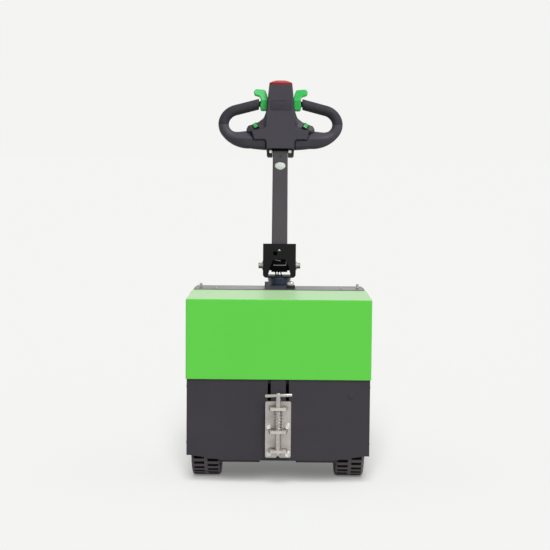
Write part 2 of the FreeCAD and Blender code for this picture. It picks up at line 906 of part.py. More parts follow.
def handle_arm():
    # Lower arm: a loft that swells from a cuff round the grip to the deep root beside the head.
    wrist = Vector(grip_bend_end[0], 0, head_low + grip_bend_end[1])
    along = Vector(grip_corners[3][0] - grip_corners[2][0], 0, grip_corners[3][1] - grip_corners[2][1])
    along.normalize()
    upward = Vector(along.z, 0, -along.x)
    cuff = cuff_size * handle_radius
    wires = [kite_wire(wrist, upward, cuff, cuff, cuff * 0.45, cuff * 0.45)]
    for x, middle, height, depth in arm_sections:
        centre = Vector(x, 0, head_low + middle)
        soft = min(height, depth) * 0.34
        wires.append(kite_wire(centre, up, height, depth, soft, arm_crease_radius))
    return Part.makeLoft(wires, True, False)


def handle_loop():
    points = [(x, w + head_low, bend) for x, w, bend in grip_corners]
    grip = swept_tube(points[:3] + [(grip_bend_end[0], grip_bend_end[1] + head_low, 0)], handle_radius)
    loop = grip.fuse([handle_arm(), handle_neck(neck_radius)])
    return loop.cut([head_housing(), head_cover(), head_ears()])


def throttle():
    # Paddle with an outward hook above and a rounded lobe below, bored for the neck.
    outline = [
        (47, 126, 4), (62, 126, 5), (64.5, 141, 7), (61, 155, 10), (64.5, 169, 7), (82, 175, 4),
        (84.5, 185, 5), (78, 194, 5), (53, 191, 5), (46, 176, 10), (44.5, 150, 6),
    ]
    lifted = [(x, w + head_low, radius) for x, w, radius in outline]
    paddle = slab("y", -throttle_depth / 2, throttle_depth / 2, lifted)
    rims = [edge for edge in paddle.Edges if edge.BoundBox.YLength < 0.01]
    paddle = paddle.makeFillet(2.5, rims)
    return paddle.cut([handle_neck(neck_radius + turning_gap), head_housing(), head_cover()])


def wing_button_blank(growth):
    # Rocker seated in the flare; growth widens it to make its pocket.
    seam_y = -head_depth / 2 + cover_depth
    half_long = 9 + growth
    half_short = 7 + growth
    shape = slab("y", seam_y - 9 - 3 * growth, seam_y, [
        (-half_long, -half_short, 2),
        (half_long, -half_short, 2),
        (half_long, half_short, 2),
        (-half_long, half_short, 2),
    ])
    shape.rotate(Vector(0, 0, 0), back, 35)
    shape.translate(Vector(78, 0, head_low + wing_high - 3))
    return shape


def wing_button():
    return wing_button_blank(0)


def head_ears():
    # Two lugs under the head, each clamped against the tube.
    inner = tube_top_width / 2 + 0.8
    ears = []
    for side in (-1, 1):
        ears.append(slab("y", -14, 14, [
            (side * inner, head_low - ear_drop, 3),
            (side * 42, head_low - ear_drop, 6),
            (side * 42, head_low, 0),
            (side * inner, head_low, 0),
        ]))
    return Part.makeCompound(ears)


def coupling_plate():
    half = plate_width / 2
    low = plate_low_z
    top = low + plate_height
    corner = plate_corner
    notch = plate_notch
    plate = slab("y", plate_face_y, 0, [
        (-half, low, corner), (-notch, low, 1), (0, low + notch, 2), (notch, low, 1), (half, low, corner),
        (half, top, corner), (-half, top, corner)])
    return plate


def coupling_lugs():
    lugs = []
    bore = rod(pin_radius + pin_fit, Vector(0, pin_y, pin_low_z - 5), Vector(0, pin_y, pin_top_z))
    for low in lug_low_z:
        lug = slab("z", low, low + lug_thickness, [
            (-lug_root / 2, plate_face_y, 0),
            (-lug_front / 2, plate_face_y - lug_reach, 5),
            (lug_front / 2, plate_face_y - lug_reach, 5),
            (lug_root / 2, plate_face_y, 0),
        ])
        lugs.append(lug.cut(bore))
    return Part.makeCompound(lugs)


def coupling_pin():
    seat_low = lug_low_z[1] + lug_thickness + turning_gap
    profile = [
        (0, pin_low_z, 0),
        (pin_radius, pin_low_z, 2),
        (pin_radius, seat_low, 0),
        (pin_seat_radius, seat_low, 0),
        (pin_seat_radius, seat_low + pin_seat_height, 0),
        (pin_radius, seat_low + pin_seat_height, 0),
        (pin_radius, pin_top_z, 1.5),
        (0, pin_top_z, 0),
    ]
    shape = turned(profile, Vector(0, pin_y, 0), up)
    return shape.cut(grip_bar())


def grip_bar():
    half = grip_length / 2
    return rod(grip_radius, Vector(-half, pin_y, grip_z), Vector(half, pin_y, grip_z))


def pin_spring():
    low = lug_low_z[1] + lug_thickness + turning_gap + pin_seat_height + spring_wire + 0.1
    high = lug_low_z[2] - spring_wire - 0.1
    helix = Part.makeHelix((high - low) / spring_turns, high - low, spring_radius)
    ring = Part.Wire(Part.makeCircle(spring_wire, Vector(spring_radius, 0, 0), back))
    coil = Part.Wire(helix.Edges).makePipeShell([ring], True, True)
    coil.translate(Vector(0, pin_y, low))
    return coil


def deck_buffers():
    top = panel_top_z + deck_thickness
    buffers = []
    for x, y in ((35, 330), (-37, 392)):
        buffers.append(turned([(0, top, 0), (13, top, 0), (13, top + 9, 2), (9, top + 10, 0),
                               (9, top + 18, 4), (0, top + 22, 0)], Vector(x, y, 0), up))
    return Part.makeCompound(buffers)


pieces = {
    "base_plate": base_plate(),
    "front_panel": front_panel(),
    "left_side_panel": mirrored(side_panel()),
    "right_side_panel": side_panel(),
    "rear_panel": rear_panel(),
    "left_wheel_well": mirrored(wheel_well()),
    "right_wheel_well": wheel_well(),
    "hood": hood(),
    "deck_plate": deck_plate(),
    "deck_buffers": deck_buffers(),
    "battery": battery(),
    "drive_unit": drive_unit(),
    "headstock": headstock(),
    "coupling_plate": coupling_plate(),
    "coupling_lugs": coupling_lugs(),
    "coupling_pin": coupling_pin(),
    "grip_bar": grip_bar(),
    "pin_spring": pin_spring(),
    "left_tyre": mirrored(tyre()),
    "right_tyre": tyre(),
    "left_rim": mirrored(rim()),
    "right_rim": rim(),
    "steering_column": steering_column(),
    "tiller_bracket": tiller_bracket(),
    "pivot_pin": pivot_pin(),
    "switch_block": switch_block(),
    "castor_fork": castor_fork(),
    "castor_axle": castor_axle(),
    "castor_tyre": castor_tyre(),
    "castor_hub": castor_hub(),
    "tiller_tube": leaning(tiller_tube()),
    "tiller_bushes": leaning(tiller_bushes()),
    "head_housing": leaning(head_housing()),
    "head_cover": leaning(head_cover()),
    "head_ears": leaning(head_ears()),
    "belly_button": leaning(belly_button()),
    "left_handle": leaning(mirrored(handle_loop())),
    "right_handle": leaning(handle_loop()),
    "left_throttle": leaning(mirrored(throttle())),
    "right_throttle": leaning(throttle()),
    "left_wing_button": leaning(mirrored(wing_button())),
    "right_wing_button": leaning(wing_button()),
}

boxes = [shape.optimalBoundingBox() for shape in pieces.values()]
rear_y = max(box.YMax for box in boxes)
front_y = min(box.YMin for box in boxes)
middle_y = (rear_y + front_y) / 2
os.makedirs("parts", exist_ok=True)
for name, shape in pieces.items():
    shape.translate(Vector(0, -middle_y, 0))
    shape.exportStep("parts/" + name + ".step")
    print(name, "solids", len(shape.Solids), "valid", shape.isValid(), "volume", round(shape.Volume))
print("front panel face stands at y =", -middle_y)
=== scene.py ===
import json
import math
import random

import bmesh
import bpy
from mathutils import Matrix, Vector
from mathutils.bvhtree import BVHTree


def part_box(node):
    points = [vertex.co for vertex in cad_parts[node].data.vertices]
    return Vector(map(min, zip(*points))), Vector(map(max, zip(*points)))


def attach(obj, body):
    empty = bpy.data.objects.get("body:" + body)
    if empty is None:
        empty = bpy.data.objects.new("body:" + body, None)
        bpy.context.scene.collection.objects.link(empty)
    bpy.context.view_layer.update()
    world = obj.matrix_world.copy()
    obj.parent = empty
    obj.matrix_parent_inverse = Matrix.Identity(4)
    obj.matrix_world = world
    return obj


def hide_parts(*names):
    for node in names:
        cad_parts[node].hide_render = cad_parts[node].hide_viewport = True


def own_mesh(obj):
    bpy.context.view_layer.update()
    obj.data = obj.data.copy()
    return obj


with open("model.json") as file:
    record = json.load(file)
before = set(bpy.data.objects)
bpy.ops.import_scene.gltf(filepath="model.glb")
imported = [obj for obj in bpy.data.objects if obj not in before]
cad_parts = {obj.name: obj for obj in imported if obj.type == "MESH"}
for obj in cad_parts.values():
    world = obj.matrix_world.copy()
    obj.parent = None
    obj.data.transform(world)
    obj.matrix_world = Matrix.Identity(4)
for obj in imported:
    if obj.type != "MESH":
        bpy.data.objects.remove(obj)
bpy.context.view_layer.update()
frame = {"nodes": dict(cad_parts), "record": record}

mm = 0.001
scene = bpy.context.scene
rng = random.Random(11)
bothSides = ((1, "right"), (-1, "left"))


def srgb(red, green, blue):
    # A colour given in steps of 0 to 255, turned into the linear one that sockets take.
    def linear(value):
        share = value / 255
        return share / 12.92 if share <= 0.04045 else ((share + 0.055) / 1.055) ** 2.4
    return (linear(red), linear(green), linear(blue), 1.0)


def boxOf(node):
    low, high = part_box(node)
    return low, high, (low + high) / 2


def newObject(name, data):
    added = bpy.data.objects.new(name, data)
    scene.collection.objects.link(added)
    return added


def turned(degrees, axis):
    return Matrix.Rotation(math.radians(degrees), 4, axis)


def inMm(x, y, z):
    return Vector((x * mm, y * mm, z * mm))


def at(x, y, z):
    return Matrix.Translation(inMm(x, y, z))


def upright(centre):
    return Matrix.Translation((centre.x, centre.y, 0))


def onFace(x, faceY, z, turn=90):
    # Placement on a face seen from the front, with heights towards the viewer.
    return Matrix.Translation((x * mm, faceY, z * mm)) @ turned(turn, "X")


def forward(a, b, h):
    # For an outline seen from the front, with heights towards the viewer.
    return inMm(a, -h, b)


def inward(a, b, h):
    # The same, with heights away from the viewer.
    return inMm(a, h, b)


# Camera: level with the tiller, tipped a little down, four metres before the front panel

cameraSetup = {
    "distance": 4.0,
    "height": 0.930,
    "tiltDown": 4.76,
    "turn": 0.171,
    "roll": 0.46,
    "lens": 94.25,
    "sensor": 36.0,
    "reach": (0.05, 900),
}
panelFaceY = boxOf("front_panel")[0].y


def placeCamera(s):
    data = bpy.data.cameras.new("viewCamera")
    data.lens = s["lens"]
    data.sensor_width = s["sensor"]
    data.clip_start, data.clip_end = s["reach"]
    camera = newObject("viewCamera", data)
    camera.matrix_world = (Matrix.Translation((0, panelFaceY - s["distance"], s["height"]))
                           @ turned(s["turn"], "Z") @ turned(90 - s["tiltDown"], "X")
                           @ turned(s["roll"], "Z"))
    scene.camera = camera


placeCamera(cameraSetup)
print("camera placed")


# Node helpers

def setSocket(tree, socket, value):
    # A socket takes either a link or a plain value.
    if isinstance(value, bpy.types.NodeSocket):
        tree.links.new(value, socket)
    else:
        socket.default_value = value


def addNode(tree, kind, sockets=None, **settings):
    node = tree.nodes.new("ShaderNode" + kind)
    for key, value in settings.items():
        setattr(node, key, value)
    for key, value in (sockets or {}).items():
        setSocket(tree, node.inputs[key], value)
    return node


def mathNode(tree, operation, first, second, clamp=False):
    return addNode(tree, "Math", {0: first, 1: second}, operation=operation, use_clamp=clamp).outputs[0]


def mixTone(tree, factor, first, second):
    mixer = addNode(tree, "Mix", data_type="RGBA", clamp_factor=True)
    for index, value in ((0, factor), (6, first), (7, second)):
        setSocket(tree, mixer.inputs[index], value)
    return mixer.outputs[2]


def noiseNode(tree, place, scale, detail=3.0, roughness=0.55):
    return addNode(tree, "TexNoise", {
        "Vector": place, "Scale": scale, "Detail": detail, "Roughness": roughness}).outputs["Fac"]


def rangeNode(tree, value, fromLow, fromHigh, toLow=0, toHigh=1):
    return addNode(tree, "MapRange", {
        "Value": value, "From Min": fromLow, "From Max": fromHigh,
        "To Min": toLow, "To Max": toHigh}).outputs[0]


def emptyTree(owner):
    owner.use_nodes = True
    owner.node_tree.nodes.clear()
    return owner.node_tree


def lookedAt(tree):
    # 1 for the rays that only look: from the camera, off gloss or through glass.
    paths = addNode(tree, "LightPath").outputs
    seen = mathNode(tree, "MAXIMUM", paths["Is Camera Ray"], paths["Is Glossy Ray"])
    return mathNode(tree, "MAXIMUM", seen, paths["Is Transmission Ray"])


# Studio: pale floor, a soft sky, two wide lamps on the object and three that only reach the floor

studio = {
    "backdrop": srgb(244, 244, 242),
    "floorHalf": 400,
    "floorTone": 0.42,
    "floorBounce": 0.13,
    "floorGlow": 0.174,
    "paperBlue": 0.985,
    "skyStrength": 0.40,
    # Name, power, softness, turn, only on the floor, seen in gloss
    "lamps": [
        ("keyLamp", 1.90, 28, (42, 0, 38), False, True),
        ("fillLamp", 1.02, 60, (74, 0, 25), False, False),
        ("floorLampHigh", 2.15, 20, (37, 0, 0), True, False),
        ("floorLamp", 2.2, 20, (50, 0, 0), True, False),
        ("floorLampLow", 2.4, 20, (62, 0, 0), True, False),
    ],
}


def buildSky(s):
    world = bpy.data.worlds.new("studioSky")
    scene.world = world
    tree = emptyTree(world)
    seen = lookedAt(tree)
    soft = addNode(tree, "Background", {"Color": (1, 1, 1, 1), "Strength": s["skyStrength"]})
    plain = addNode(tree, "Background", {"Color": s["backdrop"], "Strength": 1.0})
    mixed = addNode(tree, "MixShader", {0: seen, 1: soft.outputs[0], 2: plain.outputs[0]})
    addNode(tree, "OutputWorld", {"Surface": mixed.outputs[0]})


def buildFloor(s):
    mesh = bpy.data.meshes.new("studioFloor")
    half = s["floorHalf"]
    mesh.from_pydata([(-half, -half, 0), (half, -half, 0), (half, half, 0), (-half, half, 0)], [],
                     [(0, 1, 2, 3)])
    floor = newObject("studioFloor", mesh)
    material = bpy.data.materials.new("floorPaper")
    tree = emptyTree(material)
    # The paper glows a little for what looks at it, so that it meets the backdrop with no line.
    seen = lookedAt(tree)
    shown = [(tone, tone, tone * s["paperBlue"], 1) for tone in (s["floorBounce"], s["floorTone"])]
    paper = addNode(tree, "BsdfDiffuse", {"Color": mixTone(tree, seen, *shown)})
    glow = addNode(tree, "Emission", {
        "Color": (1, 1, s["paperBlue"], 1), "Strength": mathNode(tree, "MULTIPLY", seen, s["floorGlow"])})
    both = addNode(tree, "AddShader", {0: paper.outputs[0], 1: glow.outputs[0]})
    addNode(tree, "OutputMaterial", {"Surface": both.outputs[0]})
    mesh.materials.append(material)
    return floor


def hangLamp(floor, name, power, softness, turn, onFloor, shines):
    # The lamps over the object leave the paper to its own lamps, so the shadow stays under the object.
    data = bpy.data.lights.new(name, "SUN")
    data.energy = power
    data.angle = math.radians(softness)
    lamp = newObject(name, data)
    lamp.rotation_euler = [math.radians(t) for t in turn]
    lamp.visible_glossy = shines
    lit = bpy.data.collections.new(name + "Lights")
    lit.objects.link(floor)
    lamp.light_linking.receiver_collection = lit
    lit.collection_objects[0].light_linking.link_state = "INCLUDE" if onFloor else "EXCLUDE"


buildSky(studio)
studioFloor = buildFloor(studio)
for lampSetup in studio["lamps"]:
    hangLamp(studioFloor, *lampSetup)
scene.view_settings.view_transform = "Standard"
print("studio lit")


# Finishes: every one drifts in tone, takes an edge tone that is wear and, where lighter, a painted edge
# highlight, gathers a little dust and has its own grain.
# Tones run from 0 to 255 and scales count per metre; grain depth and the rounding of edges are in mm.

finishColumns = ("tone", "drift", "wearTone",
                 "driftScale", "rough", "roughScale", "grain", "grainDepth", "edge", "wear", "dust")
finishes = {
    "hoodPaint": ((82, 212, 46), (87, 216, 54), (150, 228, 130),
                  3, (0.28, 0.36), 9, 420, 0.01, 1.2, 0.35, 0.02),
    "chassisPaint": ((53, 50, 56), (59, 56, 62), (104, 101, 106),
                     4, (0.46, 0.58), 12, 900, 0.03, 1.0, 0.45, 0.03),
    "basePaint": ((30, 28, 32), (36, 34, 38), (120, 120, 122),
                  5, (0.5, 0.62), 12, 800, 0.03, 1.0, 0.5, 0.06),
    "deckPaint": ((66, 64, 68), (74, 72, 76), (140, 138, 144),
                  6, (0.26, 0.34), 14, 900, 0.02, 1.2, 0.5, 0.04),
    "zincSteel": ((196, 191, 188), (176, 169, 164), (224, 222, 216),
                  38, (0.3, 0.46), 60, 1500, 0.012, 0.8, 0.5, 0.0),
    "brightSteel": ((200, 197, 194), (178, 174, 171), (232, 231, 228),
                    60, (0.2, 0.3), 120, 900, 0.006, 0.5, 0.3, 0.0),
    "boltSteel": ((228, 226, 222), (214, 211, 206), (238, 237, 234),
                  120, (0.32, 0.42), 120, 900, 0.004, 0.5, 0.3, 0.0),
    "pinSteel": ((192, 187, 183), (176, 170, 165), (226, 225, 224),
                 70, (0.28, 0.36), 120, 900, 0.002, 0.4, 0.3, 0.0),
    "springSteel": ((196, 188, 181), (174, 166, 159), (228, 220, 208),
                    90, (0.2, 0.32), 200, 1600, 0.004, 0.3, 0.2, 0.0),
    "blackRubber": ((26, 26, 28), (34, 34, 36), (72, 72, 74),
                    30, (0.62, 0.78), 60, 1500, 0.03, 0.8, 0.3, 0.05),
    "batteryCase": ((44, 46, 50), (50, 52, 56), (80, 82, 86),
                    8, (0.45, 0.6), 20, 1200, 0.02, 1.5, 0.3, 0.06),
    "driveCasting": ((92, 93, 95), (76, 77, 80), (130, 131, 132),
                     24, (0.5, 0.7), 40, 700, 0.12, 1.2, 0.4, 0.08),
    "tyreRubber": ((112, 106, 110), (122, 116, 120), (92, 90, 92),
                   26, (0.66, 0.84), 50, 1300, 0.05, 1.0, 0.4, 0.1),
    "rimPaint": ((168, 169, 172), (156, 157, 160), (196, 197, 199),
                 16, (0.36, 0.5), 30, 900, 0.02, 1.2, 0.4, 0.05),
    "columnPaint": ((47, 57, 74), (53, 63, 80), (96, 102, 112),
                    14, (0.2, 0.3), 24, 900, 0.02, 1.0, 0.4, 0.02),
    "bracketPaint": ((15, 14, 16), (20, 19, 21), (72, 71, 74),
                     16, (0.42, 0.54), 30, 1000, 0.03, 1.0, 0.5, 0.02),
    "blackPlastic": ((8, 8, 9), (12, 12, 13), (60, 60, 62),
                     40, (0.36, 0.5), 60, 1500, 0.02, 0.6, 0.3, 0.0),
    # shadowPlastic: near-black with almost no gloss, painted shade for cavities, gaps and holes.
    "shadowPlastic": ((4, 4, 5), (7, 7, 8), (20, 20, 22),
                      40, (0.6, 0.7), 60, 1500, 0.02, 0.5, 0.2, 0.0),
    # grooveRubber: near-black tone for the tyres' groove floors, painted shade in the grooves.
    "grooveRubber": ((22, 20, 22), (28, 26, 28), (60, 58, 60),
                     26, (0.7, 0.86), 50, 1300, 0.05, 0.6, 0.2, 0.04),
    "castorRubber": ((66, 67, 70), (76, 77, 80), (104, 104, 106),
                     30, (0.6, 0.78), 50, 1300, 0.04, 1.2, 0.4, 0.12),
    "hubCasting": ((168, 168, 170), (150, 150, 152), (204, 204, 205),
                   40, (0.4, 0.55), 60, 800, 0.06, 1.0, 0.4, 0.04),
    "tubePaint": ((69, 65, 69), (76, 72, 76), (112, 109, 113),
                  7, (0.34, 0.46), 16, 900, 0.025, 1.4, 0.45, 0.02),
    "headPlastic": ((53, 50, 59), (58, 55, 64), (92, 89, 97),
                    10, (0.44, 0.56), 30, 1400, 0.05, 1.6, 0.3, 0.02),
    "redPlastic": ((184, 40, 48), (192, 48, 55), (224, 110, 108),
                   20, (0.38, 0.46), 30, 700, 0.01, 1.0, 0.3, 0.0),
    "gripRubber": ((50, 47, 54), (56, 53, 60), (86, 84, 88),
                   22, (0.56, 0.7), 40, 1100, 0.06, 0.8, 0.3, 0.02),
    "armPlastic": ((68, 64, 74), (74, 70, 80), (96, 93, 100),
                   16, (0.46, 0.58), 30, 1300, 0.05, 1.2, 0.3, 0.02),
    "greenPlastic": ((20, 158, 64), (26, 166, 72), (120, 214, 146),
                     30, (0.26, 0.34), 50, 1200, 0.006, 0.5, 0.3, 0.0),
    "plateFilm": ((52, 49, 58), (56, 53, 62), (112, 109, 117),
                  14, (0.3, 0.38), 40, 1800, 0.008, 0.5, 0.3, 0.0),
    "labelFilm": ((216, 219, 215), (208, 212, 206), (190, 190, 186),
                  40, (0.34, 0.44), 60, 900, 0.01, 0.3, 0.3, 0.0),
    "throttlePlastic": ((36, 186, 82), (42, 194, 90), (140, 222, 158),
                        30, (0.34, 0.42), 50, 1200, 0.003, 0.3, 0.3, 0.0),
    "weldMetal": ((178, 174, 166), (146, 140, 132), (214, 212, 206),
                  160, (0.34, 0.5), 200, 1400, 0.03, 0.4, 0.3, 0.0),
    "lugZinc": ((214, 210, 204), (192, 187, 181), (236, 234, 230),
                60, (0.26, 0.4), 90, 1500, 0.01, 0.7, 0.4, 0.0),
    # trayPaint: pale grey paint that also paints the switch's edge highlights.
    "trayPaint": ((112, 110, 114), (122, 120, 124), (110, 109, 110),
                  40, (0.4, 0.5), 60, 1200, 0.01, 0.4, 0.3, 0.0),
    # redBand: darker red, painted shade under the belly cap's lip.
    "redBand": ((104, 20, 30), (114, 24, 34), (160, 60, 62),
                30, (0.3, 0.4), 40, 900, 0.01, 0.6, 0.3, 0.0),
}
metallic = {
    "zincSteel": 0.86, "brightSteel": 1.0, "boltSteel": 0.9, "pinSteel": 1.0, "springSteel": 1.0,
    "driveCasting": 0.35, "rimPaint": 0.4, "hubCasting": 0.8, "weldMetal": 0.9, "lugZinc": 0.8,
}
specular = {
    "chassisPaint": 0.28, "basePaint": 0.28, "blackRubber": 0.3, "tyreRubber": 0.3, "bracketPaint": 0.2,
    "blackPlastic": 0.15, "shadowPlastic": 0.04, "grooveRubber": 0.15, "tubePaint": 0.35, "headPlastic": 0.38,
    "redPlastic": 0.3, "gripRubber": 0.25, "armPlastic": 0.28, "plateFilm": 0.3,
}
finishSockets = {
    "hoodPaint": {"Sheen Weight": 1.0, "Sheen Roughness": 0.5, "Sheen Tint": (0.84, 1.0, 0.74, 1),
                  "Coat Weight": 0.45, "Coat Roughness": 0.36},
    "greenPlastic": {"Coat Weight": 0.7, "Coat Roughness": 0.22},
}
brushed = {"zincSteel": (300, 300, 18), "brightSteel": (40, 40, 900), "pinSteel": (40, 40, 900)}
ageing = {"noiseSpan": (0.3, 0.7), "edgeSpan": (0.99, 0.80), "rubScale": 70, "rubSpan": (0.40, 0.66, 0.25, 1),
          "upSpan": (0.2, 1.0), "dustScale": 18, "dustSpan": (0.35, 0.75), "dustTone": srgb(176, 172, 164),
          "streak": (-0.06, 0.08), "bump": 0.6}
made = {}


def makeFinish(name, f, s):
    material = bpy.data.materials.new(name)
    material.use_nodes = True
    tree = material.node_tree
    shader = tree.nodes["Principled BSDF"]
    shader.inputs["Metallic"].default_value = metallic.get(name, 0.0)
    shader.inputs["Specular IOR Level"].default_value = specular.get(name, 0.5)
    for socket, value in finishSockets.get(name, {}).items():
        shader.inputs[socket].default_value = value
    place = addNode(tree, "TexCoord").outputs["Object"]
    geometry = addNode(tree, "NewGeometry")
    # Rounded edges: the normal runs over each edge, and where it leaves the true one the finish takes its
    # edge tone: rubbed wear and, where lighter, a painted edge highlight.
    rounded = addNode(tree, "Bevel", {"Radius": f["edge"] * mm}, samples=4).outputs[0]
    facing = addNode(tree, "VectorMath", {0: rounded, 1: geometry.outputs["Normal"]},
                     operation="DOT_PRODUCT").outputs["Value"]
    edge = rangeNode(tree, facing, *s["edgeSpan"])
    rubbed = rangeNode(tree, noiseNode(tree, place, s["rubScale"], 4, 0.6), *s["rubSpan"])
    wear = mathNode(tree, "MULTIPLY", mathNode(tree, "MULTIPLY", edge, rubbed), f["wear"], True)
    drifting = rangeNode(tree, noiseNode(tree, place, f["driftScale"], 4), *s["noiseSpan"])
    tone = mixTone(tree, drifting, srgb(*f["tone"]), srgb(*f["drift"]))
    tone = mixTone(tree, wear, tone, srgb(*f["wearTone"]))
    if f["dust"] > 0:
        up = addNode(tree, "SeparateXYZ", {0: geometry.outputs["Normal"]}).outputs["Z"]
        lying = mathNode(tree, "MULTIPLY", rangeNode(tree, up, *s["upSpan"]),
                         rangeNode(tree, noiseNode(tree, place, s["dustScale"], 5, 0.65), *s["dustSpan"]))
        tone = mixTone(tree, mathNode(tree, "MULTIPLY", lying, f["dust"], True), tone, s["dustTone"])
    rough = rangeNode(tree, noiseNode(tree, place, f["roughScale"]), *s["noiseSpan"], *f["rough"])
    grain = noiseNode(tree, place, f["grain"], 2, 0.6)
    if name in brushed:
        along = addNode(tree, "Mapping", {"Vector": place, "Scale": brushed[name]}).outputs[0]
        streak = rangeNode(tree, noiseNode(tree, along, 1.0, 3, 0.6), *s["noiseSpan"], *s["streak"])
        rough = mathNode(tree, "ADD", rough, streak, True)
        grain = mathNode(tree, "ADD", grain, noiseNode(tree, along, 1.0, 2))
    bump = addNode(tree, "Bump", {
        "Strength": s["bump"], "Distance": f["grainDepth"] * mm, "Height": grain, "Normal": rounded})
    for socket, value in (("Base Color", tone), ("Roughness", rough), ("Normal", bump.outputs[0])):
        tree.links.new(value, shader.inputs[socket])
    made[name] = material


for finishName, finishRow in finishes.items():
    makeFinish(finishName, dict(zip(finishColumns, finishRow)), ageing)

# The switch block in the bracket's window takes the near-black shadowPlastic: painted shade of the window.
nodeFinish = {"switch_block": "shadowPlastic", "head_ears": "basePaint"}


def finishOf(slotName):
    # Every slot of the part has the finish named after it.
    first, second = slotName.split("_")
    return made[first + second.capitalize()]


for sub in frame["record"]["subparts"]:
    carried = frame["nodes"][sub["node"]]
    carried.data.materials.clear()
    ownFinish = nodeFinish.get(sub["node"])
    carried.data.materials.append(made[ownFinish] if ownFinish else finishOf(sub["material_slot"]))
print("finishes mixed")


# Mesh helpers: a shape is a list of points and a list of faces

def joined(*shapes):
    verts, faces = [], []
    for points, loops in shapes:
        base = len(verts)
        verts += points
        faces += [tuple(i + base for i in loop) for loop in loops]
    return verts, faces


def moved(shape, matrix):
    return [matrix @ Vector(point) for point in shape[0]], shape[1]


def mirroredX(shape):
    return [Vector((-point[0], point[1], point[2])) for point in shape[0]], shape[1]


def onBothSides(shape):
    return ("right", shape), ("left", mirroredX(shape))


def outFrom(point, direction):
    # Placement that turns a shape's own Z towards the direction.
    return Matrix.Translation(point) @ Vector(direction).to_track_quat("Z", "Y").to_matrix().to_4x4()


def skin(rings, loop=False):
    count = len(rings[0])
    verts = [Vector(point) for ring in rings for point in ring]
    faces = []
    for i in range(len(rings) if loop else len(rings) - 1):
        low, high = i * count, (i + 1) % len(rings) * count
        for j in range(count):
            k = (j + 1) % count
            faces.append((low + j, low + k, high + k, high + j))
    if not loop:
        faces.append(tuple(reversed(range(count))))
        faces.append(tuple(range((len(rings) - 1) * count, len(rings) * count)))
    return verts, faces


def ringAt(radius, height, steps):
    return [Vector((radius * math.cos(2 * math.pi * i / steps),
                    radius * math.sin(2 * math.pi * i / steps), height)) for i in range(steps)]


def lathe(profile, steps=32, loop=False):
    # Solid of revolution about Z from (radius, height) pairs in millimetres.
    return skin([ringAt(radius * mm, height * mm, steps) for radius, height in profile], loop)


def hexRing(acrossFlats, height, limit=None, steps=24):
    ring = []
    for i in range(steps):
        angle = 2 * math.pi * i / steps
        side = (angle + math.pi / 6) % (math.pi / 3) - math.pi / 6
        radius = acrossFlats / 2 / math.cos(side)
        if limit:
            radius = min(radius, limit)
        ring.append(Vector((radius * mm * math.cos(angle), radius * mm * math.sin(angle), height * mm)))
    return ring


boltHead = {"washerEdge": (0.7, 0.4), "gap": 0.02, "shoulder": 0.18, "chamfer": 0.49,
            "dish": (0.33, 0.30, 0.5)}


def hexBolt(s):
    # Bolt head with its washer, standing on z = 0.
    wall, cut = boltHead["washerEdge"]
    washer = lathe([(s["bore"], 0), (s["washer"], 0), (s["washer"], s["thick"] * wall),
                    (s["washer"] - cut, s["thick"]), (s["bore"], s["thick"])], 28, True)
    low = s["thick"] + boltHead["gap"]
    top = low + s["height"]
    flats = s["flats"]
    dishOut, dishIn, dishDeep = boltHead["dish"]
    head = skin([hexRing(flats, low), hexRing(flats, top - s["height"] * boltHead["shoulder"]),
                 hexRing(flats, top, flats * boltHead["chamfer"]), hexRing(flats, top, flats * dishOut),
                 hexRing(flats, top - dishDeep, flats * dishIn)])
    return joined(washer, head)


def bend(before, here, after, radius, steps):
    # Points round the corner at here, from the run before it to the run after it.
    here = Vector(here)
    before = (Vector(before) - here).normalized()
    after = (Vector(after) - here).normalized()
    half = max(before.angle(after) / 2, 1e-3)
    radius = max(radius, 0.05)
    reach = radius / math.tan(half)
    middle = here + (before + after).normalized() * (radius / math.sin(half))
    start, end = here + before * reach - middle, here + after * reach - middle
    sweep = start.angle_signed(end)
    return [middle + Matrix.Rotation(-sweep * k / steps, 2) @ start for k in range(steps + 1)]


def roundedOutline(corners, steps=6):
    # Closed outline through (a, b, radius) corners, with as many points at every corner.
    points = []
    for i, (a, b, radius) in enumerate(corners):
        points += bend(corners[i - 1][:2], (a, b), corners[(i + 1) % len(corners)][:2], radius, steps)
    return points


def bothHalves(corners):
    return corners + [(-a, b, radius) for a, b, radius in reversed(corners)]


def evenOutline(corners, steps=6):
    # Closed outline from the corners of its right half.
    return roundedOutline(bothHalves(corners), steps)


def openPath(corners, bendSteps, run):
    # Centre line of straight runs and bends through (a, b, radius) corners.
    points = [Vector(corners[0][:2])]
    for before, here, after in zip(corners, corners[1:], corners[2:]):
        curve = bend(before[:2], here[:2], after[:2], here[2], bendSteps)
        runs = int((curve[0] - points[-1]).length / run)
        for k in range(1, runs + 1):
            points.append(points[-1].lerp(curve[0], 1 / (runs + 2 - k)))
        points += curve
    return points


def spaced(points, step):
    # Points along a broken line, about a step apart, without the last one.
    run = []
    for here, after in zip(points, points[1:]):
        count = max(1, round((after - here).length / step))
        run += [here.lerp(after, k / count) for k in range(count)]
    return run


def bezier(knots, t):
    order = len(knots) - 1
    return sum((knot * (math.comb(order, i) * (1 - t) ** (order - i) * t ** i)
                for i, knot in enumerate(knots)), Vector((0, 0)))


def rectangle(halfLong, halfShort, radius, steps=5):
    return roundedOutline([(halfLong, halfShort, radius), (-halfLong, halfShort, radius),
                           (-halfLong, -halfShort, radius), (halfLong, -halfShort, radius)], steps)


def roundRing(point, across, other, size, sides):
    return [point + (across * math.cos(2 * math.pi * k / sides)
                     + other * math.sin(2 * math.pi * k / sides)) * size
            for k in range(sides)]


